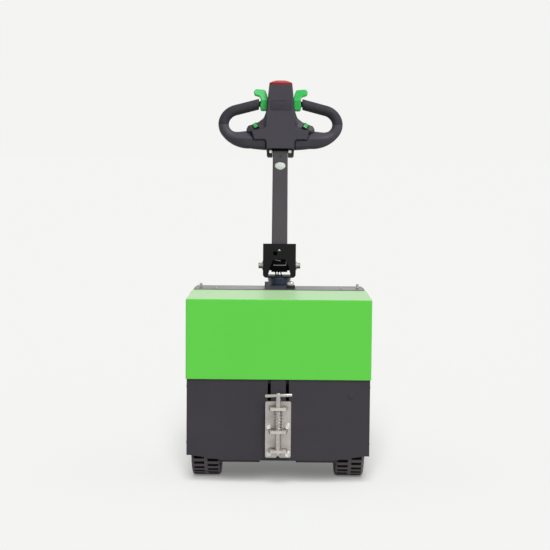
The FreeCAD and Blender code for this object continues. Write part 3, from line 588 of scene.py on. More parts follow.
def tubeAlong(path, radius, side, sides=12, loop=False):
    # Round tube whose rings stand across the path; radius may change from ring to ring.
    rings = []
    count = len(path)
    for i in range(count):
        if loop:
            tangent = (path[(i + 1) % count] - path[i - 1]).normalized()
        else:
            tangent = (path[min(i + 1, count - 1)] - path[max(i - 1, 0)]).normalized()
        across = tangent.cross(Vector(side)).normalized()
        size = radius(i) if callable(radius) else radius
        rings.append(roundRing(path[i], across, tangent.cross(across).normalized(), size, sides))
    return skin(rings, loop)


def prism(outline, low, high, place):
    # Plate between two heights; place turns (a, b, height) into a point.
    return skin([[place(point.x, point.y, height) for point in outline] for height in (low, high)])


def cushionPlate(outline, low, high, place, edge, steps=4):
    # Plate whose upper edge rolls over with the edge radius; its outline shrinks about its own middle.
    middle = sum(outline, Vector((0, 0))) / len(outline)
    reach = max((point - middle).length for point in outline)
    rings = [[place(point.x, point.y, low) for point in outline]]
    for k in range(steps + 1):
        turn = math.pi / 2 * k / steps
        share = 1 - edge * (1 - math.cos(turn)) / reach
        height = high - edge * (1 - math.sin(turn))
        rings.append([place(middle.x + (point.x - middle.x) * share,
                            middle.y + (point.y - middle.y) * share, height)
                      for point in outline])
    return skin(rings)


bevelFrom = math.radians(38)


def solidMesh(name, shape, bevel=0.0, segments=2):
    mesh = bpy.data.meshes.new(name)
    mesh.from_pydata([tuple(point) for point in shape[0]], [], shape[1])
    work = bmesh.new()
    work.from_mesh(mesh)
    bmesh.ops.recalc_face_normals(work, faces=work.faces)
    if bevel:
        edges = [e for e in work.edges if len(e.link_faces) == 2 and e.calc_face_angle(0) > bevelFrom]
        bmesh.ops.bevel(work, geom=edges, offset=bevel * mm, segments=segments, profile=0.5,
                        affect="EDGES", clamp_overlap=True)
    work.to_mesh(mesh)
    work.free()
    return mesh


def soften(piece, sharp, weighted):
    piece.data.shade_smooth()
    piece.data.set_sharp_from_angle(angle=math.radians(sharp))
    if weighted:
        piece.modifiers.new("weighted", "WEIGHTED_NORMAL").keep_sharp = True


def makePiece(name, shape, body, slotName, stands=(), sharp=35, finish=None, place=None,
              bevel=0.0, segments=2, weighted=False):
    mesh = solidMesh(name, moved(shape, place) if place else shape, bevel, segments)
    piece = newObject(name, mesh)
    mesh.materials.append(made[finish] if finish else finishOf(slotName))
    soften(piece, sharp, bool(bevel) or weighted)
    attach(piece, body)
    if stands:
        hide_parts(*stands)
    return piece


def carve(piece, cutterShape, sharp):
    cutter = newObject("cutter", solidMesh("cutter", cutterShape))
    cut = piece.modifiers.new("cut", "BOOLEAN")
    cut.object = cutter
    cut.operation = "DIFFERENCE"
    cut.solver = "EXACT"
    piece.modifiers.move(len(piece.modifiers) - 1, 0)
    bpy.context.view_layer.update()
    seen = piece.evaluated_get(bpy.context.evaluated_depsgraph_get())
    fresh = bpy.data.meshes.new_from_object(seen)
    piece.modifiers.clear()
    piece.data = fresh
    bpy.data.objects.remove(cutter)
    soften(piece, sharp, True)


# Tiller head, drawn upright with heights above the head's lower edge, then leaned with the tiller

tillerStand = {"lean": 8, "headHeight": 357}
pivotCentre = boxOf("pivot_pin")[2]
headPlace = (Matrix.Translation(pivotCentre) @ turned(-tillerStand["lean"], "X")
             @ at(0, 0, tillerStand["headHeight"]))


def headPiece(name, shape, *about, **more):
    return makePiece(name, shape, "tiller", *about, place=headPlace, **more)


coverShape = {
    "rimDepth": -14.0,
    "faceDepth": -33.0,
    "rim": [(43, 2.8, 2), (45, 25, 2), (49, 31, 3), (82, 31, 3), (92, 54.5, 2.5), (103.5, 55, 4),
            (105.6, 64, 6), (100.5, 76.5, 8), (86, 81, 10), (69, 88, 16), (52, 101, 20), (44, 125, 20),
            (36.5, 203.5, 5)],
    "face": [(40.8, 4.2, 2), (42.5, 26, 2), (49, 33, 3), (80, 33, 3), (88, 56.5, 2), (88.8, 57.6, 0.4),
             (87.4, 58.8, 0.4), (78, 59.4, 1), (65, 60, 6), (46, 65.5, 9), (41.5, 96, 14), (40.3, 125, 5),
             (33.8, 201.5, 5)],
    "climb": [(0, 0), (0.005, 0.07), (0.10, 0.14), (0.24, 0.20), (0.40, 0.28), (0.56, 0.38), (0.70, 0.50),
              (0.81, 0.65), (0.89, 0.80), (0.95, 0.925), (0.985, 0.985), (1, 1)],
    "pocket": [(32, 122, 4), (32, 152, 4)],
    "pocketDepth": 1.3,
}
blankPlate = {"outline": [(31.52, 122.525, 4), (31.52, 151.475, 4)], "low": 31.0, "high": 32.3, "roll": 0.5}


def coverRings(s):
    # The flank leaves the rim flat, climbs hollow to the face and rolls over its edge.
    rise = s["rimDepth"] - s["faceDepth"]
    rings = []
    for share, height in s["climb"]:
        corners = [[low + (high - low) * share for low, high in zip(*pair)]
                   for pair in zip(bothHalves(s["rim"]), bothHalves(s["face"]))]
        rings.append([inMm(point.x, s["rimDepth"] - rise * height, point.y)
                      for point in roundedOutline(corners, 5)])
    return rings


s = coverShape
cover = headPiece("headCover", skin(coverRings(s)), "head_plastic", ["head_cover"], 40)
carve(cover, moved(prism(evenOutline(s["pocket"]), -40, s["faceDepth"] + s["pocketDepth"], inward),
                   headPlace), 30)
s = blankPlate
headPiece("namelessPlate",
          cushionPlate(evenOutline(s["outline"]), s["low"], s["high"], forward, s["roll"], 3), "head_plastic",
          finish="plateFilm")

shellShape = {
    "wings": [(30, 53, 1), (100.5, 53, 7), (105.8, 60, 5), (105.8, 66, 6), (100.7, 76.6, 8), (86, 81.1, 10),
              (69, 88.1, 16), (52, 101.1, 20), (44, 125, 20), (30, 150, 1)],
    "seam": -13.9,
    "wingBack": 13.0,
    "roll": 6.0,
    "core": [(0.0, 43.0, 33.0), (62.0, 43.0, 33.0), (125.0, 43.0, 33.0), (164.0, 39.8, 25.2),
             (203.4, 36.5, 17.0)],
    "backCorner": 12,
}


def shellMesh(s):
    wings = cushionPlate(evenOutline(s["wings"], 5), s["seam"], s["wingBack"], inward, s["roll"], 5)
    rings = []
    for height, half, rear in s["core"]:
        outline = evenOutline([(half, s["seam"], 1), (half, rear, s["backCorner"])], 7)
        rings.append([inMm(point.x, point.y, height) for point in outline])
    return joined(wings, skin(rings))


headPiece("headShell", shellMesh(shellShape), "head_plastic", ["head_housing"], 40, bevel=0.8)

gripShape = {
    "centreLine": [(67.4, 146.4, 0), (161.5, 121.5, 50), (185.5, 78, 40), (152, 39, 0)],
    "radius": 16.5,
    "nearShare": 0.955,
    "cutEnd": [(0.80, 0.0), (0.90, 0.0), (0.965, 0.45), (1.0, 1.6)],
    "cutLength": 7,
    "sleeveEnd": (150, 84),
    "seamDepth": 0.9,
    "wristSteps": 21,
    "armLevel": (92, 33.6),
    "armPull": 0.36,
    "armSize": (64.4, 50),
    "swellEnd": 0.92,
    "soft": 0.34,
    "crease": 6.0,
    "creaseDrop": 2.2,
    "crestLean": 11.0,
    "armInner": 39.5,
    "armShares": (0.15, 0.3, 0.48, 0.65, 0.82, 1),
    "armFall": 4.5,
    "armDeepen": 3,
    "neck": [(37, 154.6), (72, 145.2)],
    "neckRadius": 8.6,
}
tipCut = 0.414


def kiteRing(centre, outward, height, depth, soft, crease, drop=0.0, lean=0.0):
    # Section across the grip: rounded above, below and behind, with its own radius in front.
    # Rounding takes tipCut of its radius off a corner, so every corner stands out by as much.
    corners = [(-lean, height / 2 + tipCut * soft, soft), (depth / 2 + tipCut * soft, 0, soft),
               (0, -height / 2 - tipCut * soft, soft), (-depth / 2 - tipCut * crease, -drop, crease)]
    upward = Vector((-outward.y, outward.x))
    ring = []
    for point in roundedOutline(corners, 7):
        place = centre + upward * point.y
        ring.append(inMm(place.x, point.x, place.y))
    return ring


def easedThrough(stations, steps):
    # Smooth run of values through the stations, the first and last met exactly.
    run = []
    padded = [stations[0], *stations, stations[-1]]
    for quartet in zip(padded, padded[1:], padded[2:], padded[3:]):
        for k in range(steps):
            t = k / steps
            run.append([0.5 * (2 * b + (c - a) * t + (2 * a - 5 * b + 4 * c - d) * t * t
                               + (3 * b - a - 3 * c + d) * t ** 3) for a, b, c, d in zip(*quartet)])
    return run + [stations[-1]]


def gripRings(s):
    wide = 2 * s["radius"]
    near = s["radius"] * s["nearShare"]
    armHeight, armDepth = s["armSize"]
    line = openPath(s["centreLine"], 18, 9)
    start = line[0]
    first = (line[1] - start).normalized()
    rings = []
    seam = 0
    # Flat cut end, square to the head and not to the grip, with a small roll to its edge.
    for size, inset in s["cutEnd"]:
        ring = kiteRing(start, first, wide * size, wide * size, near * size, near * size)
        for point in ring:
            slide = (start.x + inset) * mm - point.x
            point.x += slide
            point.z += slide * first.y / first.x
        rings.append(ring)
    for before, here, after in zip(line, line[1:], line[2:] + line[-1:]):
        if (here - start).length < s["cutLength"]:
            continue
        tangent = (after - before).normalized()
        cuts = [(0, wide)]
        if not seam and here.x > s["sleeveEnd"][0] and here.y < s["sleeveEnd"][1]:
            # A fine groove where the rubber sleeve ends on the moulded arm.
            cuts = [(-1, wide), (0, wide - 2 * s["seamDepth"]), (1, wide)]
            seam = len(rings) + 1
        rings += [kiteRing(here + tangent * step, tangent, size, size, near, near) for step, size in cuts]
    # From the wrist the line curves level towards the head while the section swells.
    wrist = line[-1]
    leaving = (wrist - line[-2]).normalized()
    level = Vector(s["armLevel"])
    reach = (wrist - level).length * s["armPull"]
    knots = [wrist, wrist + leaving * reach, level + Vector((reach, 0)), level]
    for k in range(s["wristSteps"]):
        t = (k + 1) / s["wristSteps"]
        along = bezier([after - before for before, after in zip(knots, knots[1:])], t).normalized()
        swell = min(t / s["swellEnd"], 1)
        swell = swell * swell * (3 - 2 * swell)
        rings.append(kiteRing(bezier(knots, t), along, wide + (armHeight - wide) * swell,
                              wide + (armDepth - wide) * swell, near + (armDepth * s["soft"] - near) * swell,
                              near + (s["crease"] - near) * swell, s["creaseDrop"] * swell,
                              s["crestLean"] * swell * t))
    last = Vector((s["armInner"], level.y))
    for share in s["armShares"]:
        fall = s["armFall"] * (1 - (1 - share) ** 2)
        rings.append(kiteRing(level.lerp(last, share) - Vector((0, fall / 2)), Vector((-1, 0)),
                              armHeight + fall, armDepth + s["armDeepen"] * share,
                              armDepth * s["soft"], s["crease"], s["creaseDrop"], s["crestLean"]))
    return rings, seam


s = gripShape
ringsOfGrip, seamRing = gripRings(s)
rightGrip = skin(ringsOfGrip)
neckStart, neckEnd = [inMm(x, 0, w) for x, w in s["neck"]]
rightNeck = tubeAlong([neckStart.lerp(neckEnd, k / 3) for k in range(4)], s["neckRadius"] * mm, (0, 1, 0), 24)
for (side, gripped), (_, necked) in zip(onBothSides(rightGrip), onBothSides(rightNeck)):
    grip = headPiece(side + "Grip", gripped, "grip_rubber", [side + "_handle"], 32)
    grip.data.materials.append(made["armPlastic"])
    for face in grip.data.polygons:
        startCap = face.index == len(grip.data.polygons) - 2
        face.material_index = 1 if face.index >= seamRing * len(ringsOfGrip[0]) and not startCap else 0
    headPiece(side + "GripNeck", necked, "grip_rubber", finish="blackPlastic")

# Painted shade of the gap where the cover's foot stands on the arms: a thin near-black line laid over the
# arm's own surface
coverGapShade = {"line": [(45.8, 0.5), (46.0, 24.4), (49.4, 30.2), (82.9, 30.1), (93.4, 53.2)],
            "radius": 1.0, "step": 1.2, "from": -60.0}


def shadeLineAlong(shape, s):
    surface = BVHTree.FromPolygons([tuple(point) for point in shape[0]], shape[1])
    hits = [surface.ray_cast(inMm(spot.x, s["from"], spot.y), Vector((0, 1, 0)))[0]
            for spot in spaced([Vector(corner) for corner in s["line"]], s["step"])]
    return tubeAlong([hit for hit in hits if hit], s["radius"] * mm, (0, 1, 0), 8)


for side, shape in onBothSides(shadeLineAlong(rightGrip, coverGapShade)):
    headPiece(side + "CoverGap", shape, "head_plastic", finish="shadowPlastic")

throttleShape = {
    "outline": [(41, 126, 4), (62, 126, 5), (64.5, 141, 7), (61, 155, 10), (64.5, 169, 7), (82, 175, 4),
                (84.5, 185, 5), (78, 194, 5), (48.5, 192, 6), (42.5, 176, 12), (39.5, 160, 6)],
    "front": -14.0,
    "back": 14.0,
    "ridge": 157.0,
    "leanUp": 0.34,
    "leanDown": 0.22,
    "inward": -0.10,
    "knee": 50,
    "roll": 4.2,
    "rollFrom": math.radians(60),
}


def throttleMesh(s):
    verts, faces = prism(roundedOutline(s["outline"], 5), s["front"], s["back"], inward)
    work = bmesh.new()
    corners = [work.verts.new(point) for point in verts]
    for loop in faces:
        work.faces.new([corners[i] for i in loop])
    bmesh.ops.recalc_face_normals(work, faces=work.faces)
    edges = [e for e in work.edges if e.calc_face_angle(0) > s["rollFrom"]]
    bmesh.ops.bevel(work, geom=edges, offset=s["roll"] * mm, segments=3, profile=0.5,
                    affect="EDGES", clamp_overlap=True)
    for spot, across in ((inMm(0, 0, s["ridge"]), (0, 0, 1)), (inMm(s["knee"], 0, 0), (1, 0, 0))):
        bmesh.ops.bisect_plane(work, geom=work.verts[:] + work.edges[:] + work.faces[:], plane_co=spot,
                               plane_no=across)
    # The front leans away from its ridge, up and down, and comes forward outside the knee.
    for v in work.verts:
        if v.co.y < 0:
            rise = v.co.z / mm - s["ridge"]
            away = rise * s["leanUp"] if rise > 0 else -rise * s["leanDown"]
            v.co.y += (away + max(v.co.x / mm - s["knee"], 0) * s["inward"]) * mm
    work.verts.index_update()
    shape = [v.co.copy() for v in work.verts], [tuple(v.index for v in f.verts) for f in work.faces]
    work.free()
    return shape


for side, shape in onBothSides(throttleMesh(throttleShape)):
    headPiece(side + "Throttle", shape, "green_plastic", [side + "_throttle"], 24, finish="throttlePlastic",
              weighted=True)

wingButton = {
    "x": 78, "depth": -21.4, "height": 75.5, "spin": 31, "tilt": 34,
    "bezel": (8.2, 11.0), "bezelCorner": 2.6, "bezelLow": -5.5, "bezelHigh": 1.1, "wall": 1.7,
    "openingCorner": 1.6, "bezelRoll": 0.5,
    "rocker": (6.3, 9.2), "rockerCorner": 1.8, "rockerLow": -4.5, "rockerHigh": 3.6, "roll": 2.2,
}


def buttonPlace(s, side):
    # Axes: long side down the flare's edge, height out of the flank.
    slope, tilt = math.radians(s["spin"]), math.radians(s["tilt"])
    along = Vector((side * math.cos(slope), 0, -math.sin(slope)))
    upFlank = Vector((side * math.sin(slope), 0, math.cos(slope)))
    out = (Vector((0, -1, 0)) * math.cos(tilt) + upFlank * math.sin(tilt)).normalized()
    short = out.cross(along).normalized()
    axes = Matrix((along, short, out)).transposed().to_4x4()
    return headPlace @ at(side * s["x"], s["depth"], s["height"]) @ axes


def frameShape(outer, inner, low, high, roll):
    # Rounded frame: up the outside, over the top and down the inside.
    levels = ((0, low), (0, high - roll), (0.3, high), (0.75, high), (1, high - roll * 0.4), (1, low))
    return skin([[inMm(*a.lerp(b, share), height) for a, b in zip(outer, inner)]
                 for share, height in levels], True)


s = wingButton
(wide, tall), wall = s["bezel"], s["wall"]
bezel = frameShape(rectangle(wide, tall, s["bezelCorner"]),
                   rectangle(wide - wall, tall - wall, s["openingCorner"]), s["bezelLow"], s["bezelHigh"],
                   s["bezelRoll"])
rocker = cushionPlate(rectangle(*s["rocker"], s["rockerCorner"]), s["rockerLow"], s["rockerHigh"], inMm,
                      s["roll"], 5)
for side, name in bothSides:
    spot = buttonPlace(s, side)
    makePiece(name + "ButtonBezel", bezel, "tiller", "head_plastic", finish="blackPlastic", place=spot)
    makePiece(name + "WingButton", rocker, "tiller", "green_plastic", [name + "_wing_button"], place=spot)

bellyShape = {"base": 203.5, "bandTop": 207.2, "shoulder": 209.0, "crown": 219.92, "halfWidth": 36.0,
              "halfDepth": 24.0, "corner": 7.0, "depthMiddle": -8.0, "bandInset": 0.9, "bandCorner": 6.5,
              "lipShare": 0.975, "lipRoll": 0.7, "shoulderRoll": 0.4, "bandLaps": (1.5, 0.3), "steps": 15,
              "flatEnds": 0.42, "edgeDrop": 1.1, "edgeEase": 9}


def bellyRings(s):
    outline = rectangle(s["halfWidth"], s["halfDepth"], s["corner"])
    lip = s["bandTop"]
    rings = [[inMm(point.x * share, s["depthMiddle"] + point.y * share, height) for point in outline]
             for share, height in ((s["lipShare"], lip), (1, lip + s["lipRoll"]),
                                   (1, s["shoulder"] - s["shoulderRoll"]))]
    for k in range(1, s["steps"]):
        share = math.cos(math.pi / 2 * k / s["steps"])
        edge = s["edgeDrop"] * (1 - min(1.0, (1 - share) * s["edgeEase"]))
        ring = []
        for point in outline:
            x, v = point.x * share, point.y * share
            dome = (1 - (x / s["halfWidth"]) ** 2) * (1 - s["flatEnds"] * abs(v / s["halfDepth"]) ** 3)
            lift = (s["crown"] - s["shoulder"]) * dome
            ring.append(inMm(x, s["depthMiddle"] + v, s["shoulder"] + lift - edge))
        rings.append(ring)
    return rings


s = bellyShape
headPiece("bellyCap", skin(bellyRings(s)), "red_plastic", ["belly_button"], 60)
# A darker red band under the cap's lip: painted shade of the lip.
bandOutline = [point + Vector((0, s["depthMiddle"])) for point in rectangle(
    s["halfWidth"] - s["bandInset"], s["halfDepth"] - s["bandInset"], s["bandCorner"])]
headPiece("bellyBand",
          prism(bandOutline, s["base"] - s["bandLaps"][0], s["bandTop"] + s["bandLaps"][1], inMm),
          "red_plastic", finish="redBand")
print("tiller head dressed")

# Clamping screws in the ears, the blank oval on the tube and the screw seen in the tube's hole

earScrew = {"x": 29.8, "level": -4.6, "front": -14.0, "flats": 9.8, "height": 6.0, "washer": 5.2, "bore": 2.0,
            "thick": 0.8}
s = earScrew
for side, name in bothSides:
    makePiece(name + "EarScrew", hexBolt(s), "tiller", "bright_steel", finish="boltSteel", bevel=0.25,
              place=headPlace @ at(side * s["x"], s["front"], s["level"]) @ turned(90, "X") @ turned(90, "Z"))

# Near-black band round the tube's top under the cover: painted shade where the tube enters the head.
tubeGasket = {"half": 25.1, "deep": 20.7, "corner": 3, "low": -2.6, "high": 3.6}
s = tubeGasket
headPiece("tubeGasket", prism(rectangle(s["half"], s["deep"], s["corner"], 4), s["low"], s["high"], inMm),
          "black_rubber", finish="shadowPlastic")

ovalLabel = {"middle": -49.0, "halfWide": 16.2, "up": 11.0, "down": 11.5, "low": 19.8, "high": 20.35,
             "roll": 0.3, "fullness": 0.9, "footWidth": 0.96, "footPower": 3.2, "footSway": (0.82, 0.18, 2.2),
             "footLeast": 1.5}


def ovalOutline(s):
    points = []
    for k in range(25):
        turn = math.pi * k / 24
        rise = s["up"] * math.sin(turn) ** s["fullness"]
        points.append(Vector((s["halfWide"] * math.cos(turn), s["middle"] + rise)))
    base, sway, pace = s["footSway"]
    for k in range(15):
        share = s["footWidth"] * (k / 7 - 1)
        sag = s["down"] * (1 - abs(share) ** s["footPower"]) ** 0.5 * (base + sway * math.cos(share * pace))
        points.append(Vector((s["halfWide"] * share, s["middle"] - max(sag, s["footLeast"]))))
    return points


s = ovalLabel
headPiece("blankOval", cushionPlate(ovalOutline(s), s["low"], s["high"], forward, s["roll"], 2), "tube_paint",
          finish="labelFilm")

holeScrew = {"profile": [(3.9, 0), (3.9, 1.4), (3.3, 2.0), (1.8, 2.1), (1.5, 1.2), (0.4, 1.0)],
             "depth": -17.6, "level": -20}
s = holeScrew
# The screw wears the dark column paint: painted shade of the tube's hole.
makePiece("tubeHoleScrew", lathe(s["profile"], 20), "tiller", "bright_steel", finish="columnPaint",
          place=headPlace @ at(0, s["depth"], s["level"]) @ turned(90, "X"))
print("tiller trim set")


# Tyres: two rows of tread bars set half a pitch apart on either side of a centre rib

tyreShape = {
    "pitches": 38,
    "groove": 11.0,
    "grooveFrom": 112,
    "grooveEase": 6,
    "cuts": (0.03, 0.07, 0.49, 0.53),
    "half": [(52, 0), (52, 29.5), (55, 31.0), (63, 31.5), (66, 36), (72, 39.2), (78, 40.6), (84, 41.4),
             (86, 40.8), (92, 40.8), (94, 42.2), (104, 42.4), (112, 42.2), (118, 41.8), (122.5, 41.0),
             (126, 39.9), (128.4, 37.6), (129.4, 34.0), (129.8, 24.0), (129.95, 5.2), (129.95, 4.4)],
    "rib": 4,
    "slant": 0.05,
    "slantFrom": 100,
    "slantOver": 38,
    "sunkBelow": 126.5,
    "sunkWithin": 40.5,
    "sunkFall": (30, 0.55),
}


def tyreMesh(s):
    profile = [(r, -x) for r, x in s["half"]] + [(r, x) for r, x in reversed(s["half"][1:])]
    pitch = 2 * math.pi / s["pitches"]
    rings = []
    for p in range(s["pitches"]):
        for leftRow, start in ((True, 0.0), (False, 0.5)):
            for cut, deep in zip(s["cuts"], (False, True, True, False)):
                ring = []
                for radius, x in profile:
                    size = radius
                    angle = pitch * (p + start + cut)
                    # The grooves run out to the shoulder and slant a little away from the rib.
                    if radius > s["slantFrom"] and abs(x) > s["rib"]:
                        angle += pitch * s["slant"] * (abs(x) - s["rib"]) / s["slantOver"]
                    if deep and (x < 0) == leftRow and radius > s["grooveFrom"] + 1 and abs(x) > s["rib"] + 1:
                        size -= s["groove"] * min(1, (radius - s["grooveFrom"]) / s["grooveEase"])
                    ring.append(inMm(x, size * math.cos(angle), size * math.sin(angle)))
                rings.append(ring)
    return skin(rings, True)


s = tyreShape
rightTyre = tyreMesh(s)
for side, shape in reversed(onBothSides(rightTyre)):
    centre = boxOf(side + "_tyre")[2]
    tread = makePiece(side + "Tread", shape, side + "_wheel", "tyre_rubber", [side + "_tyre"], 34,
                      place=Matrix.Translation(centre))
    # Faces sunk in the grooves take the near-black groove tone: painted shade in the grooves.
    tread.data.materials.append(made["grooveRubber"])
    for face in tread.data.polygons:
        spot = (face.center - centre) / mm
        across = abs(spot.x)
        fallFrom, fall = s["sunkFall"]
        sunk = math.hypot(spot.y, spot.z) < s["sunkBelow"] - max(across - fallFrom, 0) * fall
        if sunk and s["rib"] < across < s["sunkWithin"]:
            face.material_index = 1
print("tyres treaded")


# Towing coupling: bolts, weld beads, the tilted grip bar and the spring between the lugs

plateFaceY = boxOf("coupling_plate")[0].y
pinCentre = boxOf("coupling_pin")[2]
plateBolt = {"flats": 12.6, "height": 8.0, "washer": 8.8, "bore": 2.5, "thick": 2.2,
             "spots": [(-26.2, 94.0, 12), (26.6, 93.0, 40), (-26.2, 171.8, 34), (26.6, 171.8, 8)]}
for count, (x, z, turn) in enumerate(plateBolt["spots"], 1):
    makePiece("plateBolt.%d" % count, hexBolt(plateBolt), "chassis", "zinc_steel", finish="boltSteel",
              bevel=0.3, place=onFace(x, plateFaceY, z) @ turned(turn, "Z"))

towLug = {"outline": [(-25.5, 0, 0.1), (-24.6, -33, 9)], "thick": 8, "bore": 7.6,
          "roll": 0.9, "levels": (101, 156, 221)}
weldBead = {"halfWide": 26.5, "halfTall": 5.6, "corner": 4.5, "step": 0.9, "radius": 1.5, "ripple": 0.28,
            "rough": 0.08, "pitch": 2.6, "rise": 4, "off": 0.3}


def lumpyTube(path, waves, s, side, loop):
    # Weld bead: its radius waves along the path and wanders a little.
    sizes = [(s["radius"] + s["ripple"] * math.sin(2 * math.pi * wave / s["pitch"])
              + rng.uniform(-s["rough"], s["rough"])) * mm for wave in waves]
    return tubeAlong(path, lambda i: sizes[i], side, 8, loop)


def weldLoop(s, level):
    outline = rectangle(s["halfWide"], s["halfTall"], s["corner"])
    path = [Vector((point.x * mm, plateFaceY - s["off"] * mm, (level + point.y) * mm))
            for point in spaced(outline + outline[:1], s["step"])]
    waves = [0]
    for before, here in zip(path, path[1:]):
        waves.append(waves[-1] + (here - before).length / mm)
    return lumpyTube(path, waves, s, (0, 1, 0), True)


s = towLug
for count, level in enumerate(s["levels"], 1):
    lug = makePiece("towLug.%d" % count, prism(evenOutline(s["outline"]), 0, s["thick"], inMm), "chassis",
                    "zinc_steel", ["coupling_lugs"], 34, finish="lugZinc", bevel=s["roll"], segments=3,
                    place=Matrix.Translation((0, plateFaceY, level * mm)))
    bore = lathe([(s["bore"], -20), (s["bore"], 20)], 40)
    carve(lug, moved(bore, Matrix.Translation((0, pinCentre.y, level * mm))), 34)
for count, level in enumerate(s["levels"], 1):
    makePiece("lugWeld.%d" % count, weldLoop(weldBead, level + weldBead["rise"]), "chassis", "zinc_steel",
              finish="weldMetal", sharp=60)

gripBar = {"profile": [(3.7, -37.6), (4.4, -37.3), (4.7, -36.6), (4.7, 36.6), (4.4, 37.3), (3.7, 37.6)],
           "z": 262.0, "shift": 0.8, "droop": 2.3}
s = gripBar
barCentre = (pinCentre.x + s["shift"] * mm, pinCentre.y, s["z"] * mm)
makePiece("pinGripBar", lathe(s["profile"], 28), "towing_pin", "bright_steel", ["grip_bar"],
          place=Matrix.Translation(barCentre) @ turned(-s["droop"], "Y") @ turned(90, "Y"))

towPin = {"profile": [(4.9, 93), (5.3, 93.4), (7.5, 96), (7.5, 164.3), (11.1, 164.3), (11.5, 164.7),
                      (11.5, 166.9), (11.1, 167.3), (7.8, 167.3), (7.5, 167.6), (7.5, 252), (6.6, 255.5),
                      (6.6, 267.4), (6.1, 268.4), (5.1, 269)]}
makePiece("towPin", lathe(towPin["profile"], 40), "towing_pin", "bright_steel", ["coupling_pin"],
          finish="pinSteel", place=upright(pinCentre))

springShape = {"low": 168.7, "high": 219.6, "radius": 10.55, "wire": 1.25, "turns": 7.5, "dead": 0.9,
               "perTurn": 28, "closeness": 1.04}


def springMesh(s, sides):
    # Two closed end turns and an open pitch between them.
    flatRise = 2 * s["wire"] * s["closeness"]
    openTurns = s["turns"] - 2 * s["dead"]
    openRise = (s["high"] - s["low"] - 2 * s["dead"] * flatRise) / openTurns
    steps = int(s["turns"] * s["perTurn"])
    path = []
    for k in range(steps + 1):
        turn = s["turns"] * k / steps
        opened = min(max(turn - s["dead"], 0), openTurns)
        z = s["low"] + (turn - opened) * flatRise + opened * openRise
        angle = 2 * math.pi * turn
        path.append(inMm(s["radius"] * math.cos(angle), s["radius"] * math.sin(angle), z))
    rings = []
    for before, here, after in zip(path[:1] + path, path, path[1:] + path[-1:]):
        tangent = (after - before).normalized()
        outward = Vector((here.x, here.y, 0)).normalized()
        rings.append(roundRing(here, outward, tangent.cross(outward).normalized(), s["wire"] * mm, sides))
    return skin(rings)


spring = makePiece("pinSpring", springMesh(springShape, 10), "chassis", "spring_steel", ["pin_spring"],
                   60, place=upright(boxOf("pin_spring")[2]))
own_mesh(spring)
print("coupling fitted")


# Front panel: the plug cap to the right of the coupling

plugCap = {"x": 205.0, "z": 257.0, "profile": [(9.2, -0.4), (9.2, 0.5), (8.7, 1.0), (7.6, 1.2), (7.2, 0.5),
                                               (6.6, 0.45), (6.2, 0.9), (1.0, 1.1)]}
makePiece("panelPlug", lathe(plugCap["profile"], 40), "chassis", "chassis_paint",
          place=onFace(plugCap["x"], panelFaceY, plugCap["z"]))


# Deck: a rubber stop with a domed screw, a hex bolt, and the small fixing screws along the hood

deckTop = boxOf("deck_plate")[1].z
deckStop = {"inset": 13, "rubber": [(13, 0), (13, 7.4), (12.4, 8.6), (11.6, 9.2), (9.0, 9.4)],
            "dome": [(10.2, 9.0), (10.2, 15.4), (9.8, 17.0), (8.7, 18.6), (7.0, 19.8), (4.6, 20.6),
                     (2.2, 21.0)]}
deckBolt = {"flats": 13, "height": 12.0, "washer": 8.8, "bore": 3.0, "thick": 1.8, "turn": 20}
deckScrew = {"flange": [(1.8, 0), (1.8, 1.0), (1.4, 1.4), (0, 1.4)], "low": 1.3, "roll": 0.8,
             "crown": (0.96, 0.5),
             "spots": [(-237, 95, 12, 4.2), (-188, 46, 5, 3.6), (188, 46, 5, 3.6), (237, 95, 12, 4.2)]}
stopsLow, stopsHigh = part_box("deck_buffers")
inset = deckStop["inset"] * mm
spot = Matrix.Translation((stopsHigh.x - inset, stopsLow.y + inset, deckTop))
makePiece("deckStop", lathe(deckStop["rubber"]), "chassis", "black_rubber", ["deck_buffers"], place=spot)
makePiece("deckStopCap", lathe(deckStop["dome"]), "chassis", "bright_steel", place=spot)
spot = Matrix.Translation((stopsLow.x + inset, stopsHigh.y - inset, deckTop)) @ turned(deckBolt["turn"], "Z")
makePiece("deckBolt", hexBolt(deckBolt), "chassis", "bright_steel", finish="driveCasting", place=spot,
          bevel=0.3)
s = deckScrew
for count, (x, y, tall, radius) in enumerate(s["spots"], 1):
    flange = lathe([(radius + wide, height) for wide, height in s["flange"]], 24)
    sides = [hexRing(radius * 2, height) for height in (s["low"], tall - s["roll"])]
    shape = joined(flange, skin(sides + [hexRing(radius * 2, tall, radius * share) for share in s["crown"]]))
    makePiece("deckScrew.%d" % count, shape, "chassis", "bright_steel", finish="zincSteel", bevel=0.2,
              place=Matrix.Translation((x * mm, y * mm, deckTop)))
print("deck and panel trimmed")


# Tiller bracket: small rivet in the stop plate, pin washers and clips, switch leads into the column

bracketLow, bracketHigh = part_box("tiller_bracket")
bracketFace = Matrix.Translation((0, bracketLow.y, 0))
columnAxis = Matrix.Translation((0, pivotCentre.y, 0))
rivet = {"x": -0.7, "z": 638.6, "profile": [(3.5, -0.2), (3.5, 0.4), (3.15, 1.1), (2.1, 1.7), (0.875, 1.95)]}
makePiece("stopPlateRivet", lathe(rivet["profile"], 24), "steering", "bright_steel",
          place=onFace(rivet["x"], bracketLow.y, rivet["z"]))

